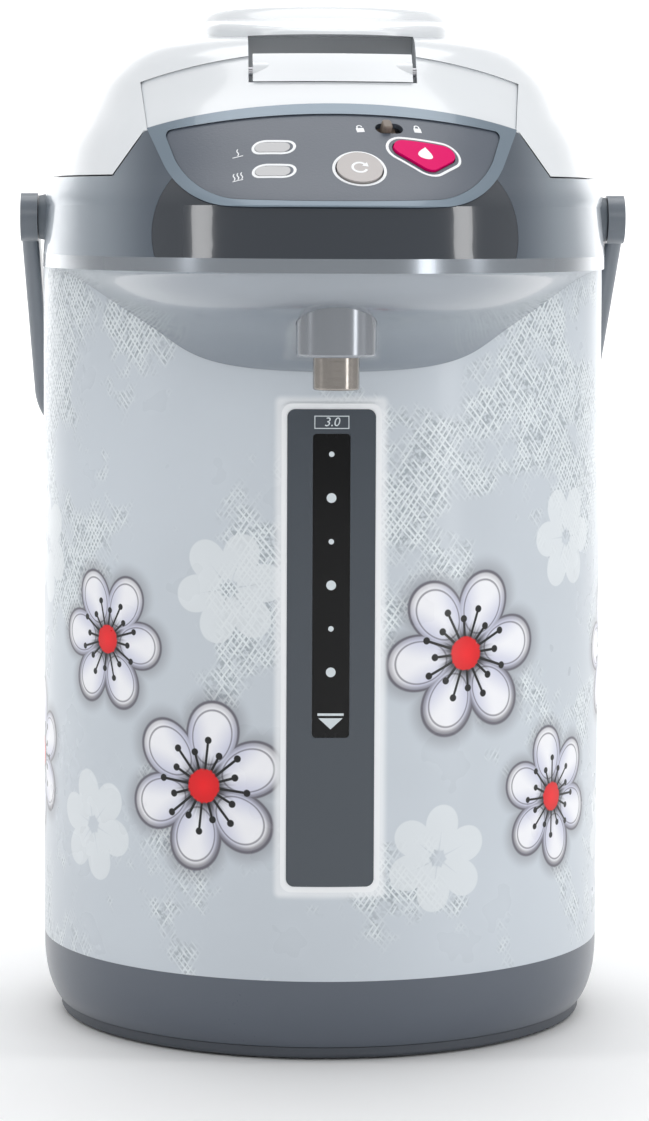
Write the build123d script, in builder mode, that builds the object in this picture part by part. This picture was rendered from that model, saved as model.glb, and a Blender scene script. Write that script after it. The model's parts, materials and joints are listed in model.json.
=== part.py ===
"""Electric thermo pot: a round insulated water heater with a hooded pump spout.

Millimetres, +Z up, front towards -Y. The origin is the centre of the foot ring, on the
surface that the pot stands on. The pot turns on a swivel plate, a bail handle hangs
from two side bosses, and the lid hinges up and back at the rear.
"""

from build123d import *
from math import cos, radians, sin, sqrt
import os

os.makedirs("parts", exist_ok=True)

# ---------------------------------------------------------------- driving dimensions
body_r = 98.0  # outer casing
hood_reach = 156.0  # from the pot's axis to the front of the hood
casing_wall = 1.5
skirt_top_z = 28.0  # top of the dark base skirt
seam_z = 267.0  # parting between the hood's collar and the shoulder above it
collar_h = 4.5  # plain band of the collar below the seam
deck_rise = 26.0  # from the seam to the deck that the lid closes on
shoulder_wall = 3.0
lid_wall = 2.2
pot_r = 81.0  # inner pot, outside
pot_wall = 1.0
pot_floor_z = 78.0
hang_angle = 40.0  # the bail rests this far below level, against the back
grip_stand = 9.2462  # at rest, from the casing out to the middle of the grip

# Clearances
running = 0.05  # radial, pin in bore
fit = 0.1  # between pieces that are fixed together
gap = 0.3  # between pieces that move past each other
lid_gap = 0.5  # visible parting round the lid

# Levels that follow from them
deck_z = seam_z + deck_rise
casing_top_z = seam_z - collar_h
casing_bore_r = body_r - casing_wall
handle_reach = (body_r + grip_stand) / cos(radians(hang_angle))  # pivots to grip

# The outer form above the seam: (rise, draw-in at the sides, at the front, at the rear)
form = (
    (0.0, 0.0, 0.0, 0.0),
    (16.5, 1.4, 8.5, 1.0),
    (26.0, 2.4, 19.8, 2.0),
    (34.0, 4.7, 29.4, 3.5),
    (42.0, 7.6, 39.0, 5.5),
    (50.0, 12.0, 48.5, 8.5),
    (58.0, 16.5, 56.5, 12.0),
    (64.0, 21.0, 62.0, 16.0),
    (69.0, 26.3, 68.0, 21.0),
    (72.0, 34.5, 76.5, 29.5),
    (75.5, 47.5, 90.0, 44.0),
    (78.0, 62.0, 108.0, 60.0),
)
steepest_shift = 1.6  # an inset moves a sloping level sideways by no more than this ratio


# ---------------------------------------------------------------- the outer form
def plan(z, half, front, rear):
    """Egg-shaped outline: half an ellipse ahead of the axis and half of one behind it."""
    with BuildSketch(Plane.XY.offset(z)) as outline:
        with BuildLine():
            EllipticalCenterArc((0, 0), half, front, start_angle=180, arc_size=180)
            EllipticalCenterArc((0, 0), half, rear, start_angle=0, arc_size=180)
        make_face()
    return outline.sketch


def skin(inset=0.0, drop=0.0):
    """The closed outer form above the seam, drawn in by an inset and lowered by a drop."""
    sections = []
    for below, here, above in zip(form[:1] + form, form, form[1:] + form[-1:]):
        run = above[0] - below[0]
        side, front, rear = [
            here[k] + inset * min(sqrt(1 + ((above[k] - below[k]) / run) ** 2), steepest_shift)
            for k in (1, 2, 3)
        ]
        z = seam_z + here[0] - drop
        sections.append(plan(z, body_r - side, hood_reach - front, body_r - rear))
    with BuildPart() as solid:
        loft(sections=sections[:2], ruled=True)
        loft(sections=sections[1:])
    return solid.part


def skin_front(x, z):
    """Y of the outer form's front at a given X and Z."""
    rise = z - seam_z
    for low, high in zip(form, form[1:]):
        if rise <= high[0]:
            share = (rise - low[0]) / (high[0] - low[0])
            half = body_r - low[1] - share * (high[1] - low[1])
            front = hood_reach - low[2] - share * (high[2] - low[2])
            return -front * sqrt(1 - (x / half) ** 2)
    raise ValueError("above the form")


def skin_plane(x, z):
    """A plane that touches the outer form's front at X and Z, facing out."""
    step = 1.0
    across = (skin_front(x + step, z) - skin_front(x - step, z)) / (2 * step)
    upward = (skin_front(x, z + step) - skin_front(x, z - step)) / (2 * step)
    point = (x, skin_front(x, z), z)
    return Plane(origin=point, x_dir=(1, across, 0), z_dir=(across, -1, upward))


def slab(low, high, size=400.0):
    """All the space between two levels."""
    with BuildPart(Plane.XY.offset(low)) as space:
        Box(size, size, high - low, align=(Align.CENTER, Align.CENTER, Align.MIN))
    return space.part


def block(x0, x1, y0, y1, z0, z1):
    """A box between two corners."""
    with BuildPart(Plane(origin=(x0, y0, z0))) as solid:
        Box(x1 - x0, y1 - y0, z1 - z0, align=(Align.MIN, Align.MIN, Align.MIN))
    return solid.part


def column(radius, low, high, x=0.0, y=0.0):
    """An upright cylinder."""
    with BuildPart(Plane(origin=(x, y, low))) as solid:
        Cylinder(radius, high - low, align=(Align.CENTER, Align.CENTER, Align.MIN))
    return solid.part


def tube(points, bend, outer, inner):
    """A bent pipe along straight runs joined by arcs."""
    with BuildPart() as pipe:
        with BuildLine() as path:
            FilletPolyline(*points, radius=bend)
        with BuildSketch(Plane(origin=path.line @ 0, z_dir=path.line % 0)):
            Circle(outer)
            Circle(inner, mode=Mode.SUBTRACT)
        sweep()
    return pipe.part


def coil(plane, radius, wire, height, turns=3.5):
    """A compression spring standing on a plane."""
    with BuildPart() as spring:
        with BuildLine() as path:
            Helix(height / turns, height, radius)
        with BuildSketch(Plane(origin=path.line @ 0, z_dir=path.line % 0)):
            RegularPolygon(wire, 6)
        sweep(is_frenet=True)
    return plane * spring.part


def write(piece, name):
    """Label a finished piece and write its file."""
    piece.label = name
    export_step(piece, f"parts/{name}.step")


outer_form = skin()

# ---------------------------------------------------------------- swivel base
skirt_foot_r = body_r - 5.5
plate_r = skirt_foot_r - 0.5
plate_low_z = 0.8
plate_top_z = 4.4
foot_high_r = plate_r - 6.0
foot_low_r = foot_high_r - 10.0
foot_groove_z = 1.6
hub_r = 13.0
hub_screw_r = 2.2
retainer_t = 2.0
cover_low_z = 5.0
cover_top_z = 8.0
skirt_low_z = plate_top_z + gap
hub_top_z = cover_top_z + gap

with BuildPart() as foot_ring:
    with BuildSketch():
        Circle(foot_high_r)
        Circle(foot_low_r, mode=Mode.SUBTRACT)
    extrude(amount=foot_groove_z)
    chamfer(foot_ring.faces().sort_by(Axis.Z)[0].edges(), 0.4)
write(foot_ring.part, "foot_ring")

plate_edge_r = 1.2
pocket_n, pocket_w, pocket_h = 12, 14.0, 1.8
with BuildPart() as swivel_plate:
    with BuildSketch(Plane.XY.offset(plate_low_z)):
        Circle(plate_r)
    extrude(amount=plate_top_z - plate_low_z)
    fillet(swivel_plate.faces().sort_by(Axis.Z)[0].edges(), plate_edge_r)
    with BuildSketch(Plane.XY.offset(plate_low_z)):
        Circle(foot_high_r + fit / 2)
        Circle(foot_low_r - fit / 2, mode=Mode.SUBTRACT)
    extrude(amount=foot_groove_z - plate_low_z, mode=Mode.SUBTRACT)
    with BuildSketch(Plane.XY.offset(plate_low_z)):
        with PolarLocations((hub_r + foot_low_r) / 2 + 1, pocket_n):
            Rectangle(foot_low_r - hub_r - 14, pocket_w)
    extrude(amount=pocket_h, mode=Mode.SUBTRACT)
    with BuildSketch(Plane.XY.offset(plate_top_z)):
        Circle(hub_r)
    extrude(amount=hub_top_z - plate_top_z)
    Hole(radius=hub_screw_r)
write(swivel_plate.part, "swivel_plate")

with BuildPart() as swivel_retainer:
    with BuildSketch(Plane.XY.offset(hub_top_z)):
        Circle(hub_r + 4)
    extrude(amount=retainer_t)
    chamfer(swivel_retainer.faces().sort_by(Axis.Z)[-1].edges(), 0.5)
    with BuildSketch(Plane.XY.offset(hub_top_z + retainer_t)):
        Circle(4)
    extrude(amount=1.6)
    with BuildSketch(Plane.XY.offset(plate_low_z + pocket_h)):
        Circle(hub_screw_r - fit)
    extrude(amount=hub_top_z - plate_low_z - pocket_h)
write(swivel_retainer.part, "swivel_retainer")

# ---------------------------------------------------------------- base skirt and cover
cover_r = skirt_foot_r - 4.5
skirt_flange_r = cover_r - 10.0
skirt_shoulder_r = casing_bore_r - fit
skirt_wall = 2.0
skirt_lip_h = 6.0  # how far its lip reaches up inside the casing
skirt_flange_t = 2.5
base_screw_ring_r = (cover_r + skirt_flange_r) / 2
base_screws_n = 4
screw_boss_r, screw_boss_h = 3.6, 7.0
screw_head_r, screw_head_h = 3.4, 1.4
screw_recess_h = 1.6
screw_shank_r, screw_shank_h = 1.45, 9.0
screw_pilot_r, screw_pilot_h = 1.5, 8.0
screw_hole_r = 1.9

with BuildPart() as base_skirt:
    with BuildSketch(Plane.XZ):
        with BuildLine():
            foot = (skirt_foot_r, skirt_low_z)
            rim = (body_r, skirt_top_z)
            Spline(foot, (body_r - 1.6, 12.5), rim, tangents=((0.9, 1.0), (0, 1)))
            Polyline(
                rim,
                (skirt_shoulder_r, skirt_top_z),
                (skirt_shoulder_r, skirt_top_z + skirt_lip_h),
                (skirt_shoulder_r - skirt_wall, skirt_top_z + skirt_lip_h),
                (skirt_shoulder_r - skirt_wall, cover_top_z + 6),
                (skirt_foot_r - skirt_wall, cover_top_z + skirt_flange_t),
                (skirt_flange_r, cover_top_z + skirt_flange_t),
                (skirt_flange_r, cover_top_z),
                (cover_r + gap, cover_top_z),
                (cover_r + gap, skirt_low_z),
                foot,
            )
        make_face()
    revolve(axis=Axis.Z)
    with BuildSketch(Plane.XY.offset(cover_top_z + skirt_flange_t)):
        with PolarLocations(base_screw_ring_r, base_screws_n, start_angle=45):
            Circle(screw_boss_r)
    extrude(amount=screw_boss_h)
    with BuildSketch(Plane.XY.offset(cover_top_z)):
        with PolarLocations(base_screw_ring_r, base_screws_n, start_angle=45):
            Circle(screw_pilot_r)
    extrude(amount=screw_pilot_h, mode=Mode.SUBTRACT)
write(base_skirt.part, "base_skirt")

vent_slots, vent_ring_r = 10, 58.0
with BuildPart() as bottom_cover:
    with BuildSketch(Plane.XY.offset(cover_low_z)):
        Circle(cover_r)
        Circle(hub_r + running * 4, mode=Mode.SUBTRACT)
        with PolarLocations(base_screw_ring_r, base_screws_n, start_angle=45):
            Circle(screw_hole_r, mode=Mode.SUBTRACT)
        with PolarLocations(vent_ring_r, vent_slots, start_angle=18):
            SlotOverall(16, 3, mode=Mode.SUBTRACT)
    extrude(amount=cover_top_z - cover_low_z)
    with BuildSketch(Plane.XY.offset(cover_low_z)):
        with PolarLocations(base_screw_ring_r, base_screws_n, start_angle=45):
            Circle(screw_boss_r)
    extrude(amount=screw_recess_h, mode=Mode.SUBTRACT)
write(bottom_cover.part, "bottom_cover")

with BuildPart() as base_screws:
    with BuildSketch(Plane.XY.offset(cover_low_z + screw_recess_h - screw_head_h)):
        with PolarLocations(base_screw_ring_r, base_screws_n, start_angle=45):
            Circle(screw_head_r)
    extrude(amount=screw_head_h)
    with BuildSketch(Plane.XY.offset(cover_low_z + screw_recess_h)):
        with PolarLocations(base_screw_ring_r, base_screws_n, start_angle=45):
            Circle(screw_shank_r)
    extrude(amount=screw_shank_h)
write(base_screws.part, "base_screws")

# ---------------------------------------------------------------- power inlet, at the rear
inlet_half, inlet_low_z, inlet_high_z = 21.0, 40.0, 66.0
socket_half, socket_low_z, socket_high_z = 17.0, 45.0, 61.0
socket_floor_y = body_r - 13.0
pin_pitch, pin_r, pin_len = 12.0, 2.0, 6.0

casing_can = column(body_r, skirt_top_z, casing_top_z)
with BuildPart() as power_inlet:
    add(block(-inlet_half + fit, inlet_half - fit, socket_floor_y - 4, body_r + 9,
              inlet_low_z + fit, inlet_high_z - fit))
    add(casing_can, mode=Mode.INTERSECT)
    add(block(-socket_half, socket_half, socket_floor_y, body_r + 9,
              socket_low_z, socket_high_z), mode=Mode.SUBTRACT)
    with BuildSketch(Plane.XZ.offset(-socket_floor_y + 6)):
        with Locations((0, (socket_low_z + socket_high_z) / 2)):
            with GridLocations(pin_pitch, 1, 2, 1):
                Circle(pin_r)
    extrude(amount=-12, mode=Mode.SUBTRACT)
    for side in (-1, 1):
        add(block(side * (inlet_half + 3) - 3.5, side * (inlet_half + 3) + 3.5,
                  body_r - 9, body_r - 6, 48, 58))
write(power_inlet.part, "power_inlet")

with BuildPart() as inlet_pins:
    with BuildSketch(Plane.XZ.offset(-socket_floor_y + 8)):
        with Locations((0, (socket_low_z + socket_high_z) / 2)):
            with GridLocations(pin_pitch, 1, 2, 1):
                Circle(pin_r)
    extrude(amount=-8 - pin_len)
    fillet(inlet_pins.faces().sort_by(Axis.Y)[-2:].edges(), 1.0)
write(inlet_pins.part, "inlet_pins")

# ---------------------------------------------------------------- level gauge
gauge_half, gauge_low_z, gauge_high_z = 16.4, 58.0, 219.4
gauge_border = 1.9
gauge_mid_z = (gauge_low_z + gauge_high_z) / 2
gauge_h = gauge_high_z - gauge_low_z
window_half, window_low_z, window_high_z = 6.15, 109.5, 209.5
window_mid_z = (window_low_z + window_high_z) / 2
window_h = window_high_z - window_low_z
trim_proud, cover_proud, window_proud = 0.9, 1.2, 0.8


def gauge_plate(width, height, mid_z, corner, low_r, high_r):
    """A rounded plate that follows the casing's front, between two radii."""
    with BuildPart() as plate:
        with BuildSketch(Plane.XZ.offset(body_r - 20)):
            with Locations((0, mid_z)):
                RectangleRounded(width, height, corner)
        extrude(amount=30)
        add(column(high_r, mid_z - height, mid_z + height), mode=Mode.INTERSECT)
        add(column(low_r, mid_z - height, mid_z + height), mode=Mode.SUBTRACT)
    return plate.part


cover_w = 2 * (gauge_half - gauge_border)
cover_h = gauge_h - 2 * gauge_border
with BuildPart() as gauge_trim:
    add(gauge_plate(2 * gauge_half, gauge_h, gauge_mid_z, 3.6, body_r, body_r + trim_proud))
    add(gauge_plate(cover_w, cover_h, gauge_mid_z, 2.6, body_r - 5, body_r + 5),
        mode=Mode.SUBTRACT)
write(gauge_trim.part, "gauge_trim")

with BuildPart() as gauge_cover:
    add(gauge_plate(cover_w - fit, cover_h - fit, gauge_mid_z, 2.6, body_r,
                    body_r + cover_proud))
    add(gauge_plate(2 * window_half, window_h, window_mid_z, 1.2, body_r - 5, body_r + 5),
        mode=Mode.SUBTRACT)
write(gauge_cover.part, "gauge_cover")

with BuildPart() as gauge_window:
    add(gauge_plate(2 * window_half - fit, window_h - fit, window_mid_z, 1.2,
                    body_r, body_r + window_proud))
write(gauge_window.part, "gauge_window")

# ---------------------------------------------------------------- outer casing
pipe_notch_half, pipe_notch_low_z = 12.0, casing_top_z - 22.5
with BuildPart() as outer_casing:
    add(casing_can)
    add(column(casing_bore_r, skirt_top_z, casing_top_z), mode=Mode.SUBTRACT)
    add(block(-window_half + 1, window_half - 1, -body_r - 5, -pot_r,
              window_low_z + 1.5, window_high_z - 1.5), mode=Mode.SUBTRACT)
    add(block(-pipe_notch_half, pipe_notch_half, -body_r - 5, -pot_r,
              pipe_notch_low_z, casing_top_z), mode=Mode.SUBTRACT)
    add(block(-inlet_half, inlet_half, pot_r, body_r + 5, inlet_low_z, inlet_high_z),
        mode=Mode.SUBTRACT)
write(outer_casing.part, "outer_casing")

# ---------------------------------------------------------------- hood collar and bowl
# Underside sections: (depth below the collar's band, draw-in at the sides, at the front)
bowl_form = (
    (0.0, 0.0, 0.0),
    (6.5, 12.5, 3.0),
    (12.5, 19.0, 10.0),
    (18.5, 24.0, 24.0),
    (25.5, 25.0, 41.0),
    (33.5, 28.0, 61.0),
)
bowl_wall = 2.5
flange_r = pot_r + 3.0
flange_h = 3.0
nozzle_y = -(hood_reach - 20.0)
boss_r, boss_low_z = 12.75, casing_top_z - 26.5


def bowl(wall=0.0):
    """The hood's underside, or its hollow one wall thickness inside."""
    with BuildPart() as solid:
        loft(sections=[
            plan(casing_top_z - depth + wall, body_r - side - wall,
                 hood_reach - front - wall, body_r / 2)
            for depth, side, front in reversed(bowl_form)
        ])
    return solid.part


with BuildPart() as hood_collar:
    add(bowl())
    add(column(body_r + fit, casing_top_z - 60, casing_top_z), mode=Mode.SUBTRACT)
    with BuildSketch(Plane.XY.offset(casing_top_z)):
        add(plan(0, body_r, hood_reach, body_r))
    extrude(amount=collar_h)
    add(bowl(bowl_wall), mode=Mode.SUBTRACT)
    with BuildSketch(Plane.XY.offset(casing_top_z)):
        add(plan(0, body_r - bowl_wall, hood_reach - bowl_wall, body_r - bowl_wall))
    extrude(amount=collar_h, mode=Mode.SUBTRACT)
    with BuildSketch(Plane.XY.offset(casing_top_z)):
        Circle(body_r - 1)
        Circle(flange_r, mode=Mode.SUBTRACT)
    extrude(amount=flange_h)
    with BuildSketch(Plane.XY.offset(casing_top_z - 7)):
        Circle(casing_bore_r - fit)
        Circle(casing_bore_r - 2.2, mode=Mode.SUBTRACT)
        with Locations((0, -body_r)):
            Rectangle(2 * pipe_notch_half + 4, 40, mode=Mode.SUBTRACT)
    extrude(amount=7)
    add(column(boss_r + fit, boss_low_z, casing_top_z, y=nozzle_y), mode=Mode.SUBTRACT)
write(hood_collar.part, "hood_collar")

# ---------------------------------------------------------------- lid parting and tower
# The tower is the wedge ahead of the lid that carries the control panel.
tower_depth = 47.0  # from the hood's front back to the lid's parting
lid_seam_r = body_r + 1.25
lid_seam_y = lid_seam_r - (hood_reach - tower_depth)
tower_low_half, tower_top_half = 71.5, 60.5
tower_corner_z = deck_z + 15.5
tower_wall = 2.0


def tower_zone(grow=0.0):
    """The space of the tower, grown sideways and backwards."""
    with BuildPart() as zone:
        with BuildSketch(Plane.XZ):
            with BuildLine():
                Polyline(
                    (tower_low_half + grow, deck_z - 10),
                    (tower_low_half + grow, deck_z),
                    (tower_top_half + grow, tower_corner_z),
                    (tower_top_half + grow, deck_z + 60),
                    (-tower_top_half - grow, deck_z + 60),
                    (-tower_top_half - grow, tower_corner_z),
                    (-tower_low_half - grow, deck_z),
                    (-tower_low_half - grow, deck_z - 10),
                    close=True,
                )
            make_face()
        extrude(amount=hood_reach + 20)
        add(column(lid_seam_r - grow, deck_z - 20, deck_z + 70, y=lid_seam_y),
            mode=Mode.SUBTRACT)
    return zone.part


# ---------------------------------------------------------------- front outlines, in X and Z
def panel_face(grow=0.0):
    """The control panel's outline."""
    low, corner, top = seam_z + 18 - grow, deck_z + 5, seam_z + 45.8 + grow
    with BuildSketch(Plane.XZ) as outline:
        with BuildLine():
            floor = ThreePointArc((-31, low + 0.5), (0, low), (31, low + 0.5))
            right = ThreePointArc(floor @ 1, (43.2 + grow, deck_z - 3.6), (51 + grow, corner))
            edge = Line(right @ 1, (54.8 + grow, deck_z + 14.4 + grow))
            roof = ThreePointArc(edge @ 1, (0, top), (-54.8 - grow, deck_z + 14.4 + grow))
            flank = Line(roof @ 1, (-51 - grow, corner))
            ThreePointArc(flank @ 1, (-43.2 - grow, deck_z - 3.6), floor @ 0)
        make_face()
        fillet(outline.vertices().group_by(Axis.Y)[-1], 2.0)
    return outline.sketch


def bezel_face(grow=0.0):
    """The bezel's outline, open upwards to the lid's parting."""
    low, corner = seam_z + 15.6 - grow, deck_z + 4
    with BuildSketch(Plane.XZ) as outline:
        with BuildLine():
            floor = ThreePointArc((-34, low + 0.7), (0, low), (34, low + 0.7))
            right = ThreePointArc(floor @ 1, (47.5 + grow, deck_z - 5), (55 + grow, corner))
            edge = Line(right @ 1, (tower_top_half + grow, tower_corner_z))
            roof = Polyline(edge @ 1, (tower_top_half + grow, deck_z + 40),
                            (-tower_top_half - grow, deck_z + 40),
                            (-tower_top_half - grow, tower_corner_z))
            flank = Line(roof @ 1, (-55 - grow, corner))
            ThreePointArc(flank @ 1, (-47.5 - grow, deck_z - 5), floor @ 0)
        make_face()
    return outline.sketch


def fascia_face(grow=0.0):
    """The dark fascia's outline, from the seam up beside the bezel."""
    with BuildSketch(Plane.XZ) as outline:
        with BuildLine():
            floor = Line((-57.3 - grow, seam_z - grow), (57.3 + grow, seam_z - grow))
            right = ThreePointArc(floor @ 1, (58.2 + grow, seam_z + 10), (52 + grow, deck_z - 1))
            roof = Line(right @ 1, (-52 - grow, deck_z - 1))
            ThreePointArc(roof @ 1, (-58.2 - grow, seam_z + 10), floor @ 0)
        make_face()
        add(bezel_face(fit), mode=Mode.SUBTRACT)
    return outline.sketch


def front_prism(outline):
    """An outline pushed forwards through the whole front."""
    with BuildPart() as solid:
        with BuildSketch(Plane.XZ.offset(20)):
            add(outline)
        extrude(amount=hood_reach)
    return solid.part


panel_depth = 2.0  # from the outer form down to the ledge that carries panel and bezel
fascia_depth = 1.3
panel_zone = front_prism(panel_face())
bezel_zone = front_prism(bezel_face())

# ---------------------------------------------------------------- handle pivots
pivot_z = seam_z + 12.5
boss_face_x = body_r + 1.6
handle_pin_r = 4.0
handle_pin_end_x = body_r + 6.5
handle_boss_r = 10.5

# ---------------------------------------------------------------- lid hinge, at the rear
hinge_y, hinge_z = body_r + 4.0, deck_z + 5.0
hinge_pin_r = 2.0
knuckle_r = 4.6
barrel_half, ear_w = 21.6, 8.0
ear_root_y = body_r - 7.0
ear_half = barrel_half + gap + ear_w

# ---------------------------------------------------------------- latch hole, front of deck
hook_half = 6.0
latch_y, latch_z = -(hood_reach - 66.0), seam_z + 60.0
hook_back_y, hook_front_y = latch_y - 2.5, latch_y - 6.5
hole_back_y, hole_front_y = hook_back_y + 1.5, hook_front_y - 7.0

mouth_r = pot_r + 7.0  # hole in the deck for the mouth ring
deck_t = 2.5

with BuildPart() as tower:
    add(outer_form)
    add(tower_zone(), mode=Mode.INTERSECT)

with BuildPart() as shoulder_hollow:
    add(skin(shoulder_wall))
    add(slab(deck_z - deck_t, deck_z + 100), mode=Mode.SUBTRACT)

with BuildPart() as tower_hollow:
    add(skin(shoulder_wall))
    add(tower_zone(-tower_wall), mode=Mode.INTERSECT)

with BuildPart() as bezel_recess:
    add(bezel_zone)
    add(skin(panel_depth), mode=Mode.SUBTRACT)

with BuildPart() as fascia_recess:
    add(front_prism(fascia_face(fit)))
    add(skin(fascia_depth + fit), mode=Mode.SUBTRACT)

with BuildPart() as shoulder_housing:
    add(outer_form)
    add(slab(deck_z, deck_z + 100), mode=Mode.SUBTRACT)
    add(tower.part)
    add(shoulder_hollow.part, mode=Mode.SUBTRACT)
    add(tower_hollow.part, mode=Mode.SUBTRACT)
    add(column(mouth_r, deck_z - 5, deck_z + 5), mode=Mode.SUBTRACT)
    add(bezel_recess.part, mode=Mode.SUBTRACT)
    add(front_prism(panel_face(-2.5)), mode=Mode.SUBTRACT)
    add(fascia_recess.part, mode=Mode.SUBTRACT)
    add(block(-hook_half - 2, hook_half + 2, hole_front_y, hole_back_y, deck_z - 5, deck_z + 5),
        mode=Mode.SUBTRACT)
    for side in (-1, 1):
        with BuildSketch(Plane.YZ.offset(side * (barrel_half + gap))):
            with Locations((hinge_y, hinge_z)):
                Circle(knuckle_r)
            with BuildLine():
                Polyline(
                    (hinge_y - knuckle_r, hinge_z),
                    (hinge_y - knuckle_r, deck_z),
                    (ear_root_y, deck_z - 1),
                    (ear_root_y, deck_z - 14),
                    (hinge_y + knuckle_r, hinge_z - 5),
                    (hinge_y + knuckle_r, hinge_z),
                    close=True,
                )
            make_face()
        extrude(amount=side * ear_w)
    with BuildSketch(Plane.YZ.offset(-ear_half)):
        with Locations((hinge_y, hinge_z)):
            Circle(hinge_pin_r)
    extrude(amount=2 * ear_half, mode=Mode.SUBTRACT)
    with BuildSketch(Plane.YZ.offset(-body_r)):
        with Locations((0, pivot_z)):
            Circle(handle_pin_r + fit)
    extrude(amount=2 * body_r, mode=Mode.SUBTRACT)
write(shoulder_housing.part, "shoulder_housing")

with BuildPart() as front_fascia:
    add(outer_form)
    add(skin(fascia_depth), mode=Mode.SUBTRACT)
    add(front_prism(fascia_face()), mode=Mode.INTERSECT)
write(front_fascia.part, "front_fascia")

# ---------------------------------------------------------------- handle bosses and pins
for side, name in ((-1, "left_handle_boss"), (1, "right_handle_boss")):
    with BuildPart() as handle_boss:
        with BuildSketch(Plane.YZ.offset(side * (body_r - 12))):
            with Locations((0, pivot_z)):
                Circle(handle_boss_r)
        extrude(amount=side * (boss_face_x - body_r + 12), taper=12)
        add(outer_form, mode=Mode.SUBTRACT)
        with BuildSketch(Plane.YZ.offset(side * (body_r - 7))):
            with Locations((0, pivot_z)):
                Circle(handle_pin_r)
        extrude(amount=side * (handle_pin_end_x - body_r + 7))
    write(handle_boss.part, name)

# ---------------------------------------------------------------- bail handle
bail_plane = Plane(
    origin=(0, 0, pivot_z),
    x_dir=(1, 0, 0),
    z_dir=(0, sin(radians(hang_angle)), cos(radians(hang_angle))),
)
arm_inner_x = boss_face_x + gap
arm_t, arm_w = 6.0, 13.0
grip_t, grip_w, grip_half = 9.0, 15.0, 48.0
arm_mid_x = arm_inner_x + arm_t / 2
grip_end_x = arm_mid_x - 2.0
bail_bend = 46.0
head_r = 8.5

with BuildPart() as handle:
    with BuildLine(bail_plane) as bail:
        FilletPolyline(
            (-arm_mid_x, 0), (-grip_end_x, handle_reach), (grip_end_x, handle_reach),
            (arm_mid_x, 0), radius=bail_bend,
        )
    with BuildSketch(Plane(origin=bail.line @ 0, x_dir=bail_plane.z_dir, z_dir=bail.line % 0)):
        RectangleRounded(arm_w, arm_t, 2.4)
    sweep()
    grip_start = bail_plane * Pos(-grip_half, handle_reach, 0)
    with BuildSketch(Plane(origin=grip_start.position, x_dir=bail_plane.z_dir, z_dir=(1, 0, 0))):
        RectangleRounded(grip_w, grip_t, 4.0)
    extrude(amount=2 * grip_half)
    for side in (-1, 1):
        with BuildSketch(Plane.YZ.offset(side * arm_inner_x)):
            with Locations((0, pivot_z)):
                Circle(head_r)
        extrude(amount=side * arm_t)
    for side in (-1, 1):
        with BuildSketch(Plane.YZ.offset(side * (arm_inner_x - 4))):
            with Locations((0, pivot_z)):
                Circle(handle_pin_r + running)
        extrude(amount=side * (handle_pin_end_x - arm_inner_x + 4 + gap), mode=Mode.SUBTRACT)
write(handle.part, "handle")

# ---------------------------------------------------------------- control panel and bezel
lamp_size = (11.5, 4.6)
warm_plane = skin_plane(-20.1, deck_z + 8.9)
boil_plane = skin_plane(-20.1, deck_z + 1.3)
reboil_plane = skin_plane(7.2, deck_z + 2.1)
pump_plane = skin_plane(28.9, deck_z + 6.4)
lock_plane = skin_plane(17.3, deck_z + 15.2)
reboil_r = 7.3
button_gap = 0.35
button_proud = 0.8
lock_slot = (9.2, 5.0)
lock_knob = (3.2, 4.2)
lock_rest_u = -1.0


def pump_outline(plane, grow=0.0):
    """The pump button: a rounded three-cornered pad."""
    corner_r = 3.6 + grow
    with BuildSketch(plane) as outline:
        with Locations((-6.6, 3.4), (6.6, 0.6), (-0.6, -3.7)):
            Circle(corner_r)
        make_hull()
    return outline.sketch


def lamp_outline(plane, grow=0.0):
    """A lamp's pill-shaped lens."""
    with BuildSketch(plane) as outline:
        SlotOverall(lamp_size[0] + 2 * grow, lamp_size[1] + 2 * grow)
    return outline.sketch


def round_outline(plane, radius):
    """A round outline on a plane."""
    with BuildSketch(plane) as outline:
        Circle(radius)
    return outline.sketch


def through(outline, up=6.0, down=9.0):
    """A prism that runs from below an outline's plane to above it."""
    with BuildPart() as solid:
        extrude(to_extrude=outline.face(), amount=up)
        extrude(to_extrude=outline.face(), amount=-down)
    return solid.part


with BuildSketch(lock_plane) as lock_hole:
    SlotOverall(*lock_slot)

with BuildPart() as bezel:
    add(skin(-0.5))
    add(skin(panel_depth), mode=Mode.SUBTRACT)
    add(bezel_zone, mode=Mode.INTERSECT)
    add(tower_zone(), mode=Mode.INTERSECT)
    add(front_prism(panel_face(fit)), mode=Mode.SUBTRACT)
write(bezel.part, "panel_bezel")

with BuildPart() as control_panel:
    add(outer_form)
    add(skin(panel_depth), mode=Mode.SUBTRACT)
    add(panel_zone, mode=Mode.INTERSECT)
    add(tower_zone(), mode=Mode.INTERSECT)
    add(through(pump_outline(pump_plane, button_gap)), mode=Mode.SUBTRACT)
    add(through(round_outline(reboil_plane, reboil_r + button_gap)), mode=Mode.SUBTRACT)
    add(through(lamp_outline(warm_plane, fit)), mode=Mode.SUBTRACT)
    add(through(lamp_outline(boil_plane, fit)), mode=Mode.SUBTRACT)
    add(through(lock_hole.sketch), mode=Mode.SUBTRACT)
write(control_panel.part, "control_panel")

for plane, name in ((warm_plane, "warm_lamp"), (boil_plane, "boil_lamp")):
    with BuildPart() as lamp:
        add(skin(-0.15))
        add(skin(3.2), mode=Mode.SUBTRACT)
        add(through(lamp_outline(plane)), mode=Mode.INTERSECT)
    write(lamp.part, name)

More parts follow.
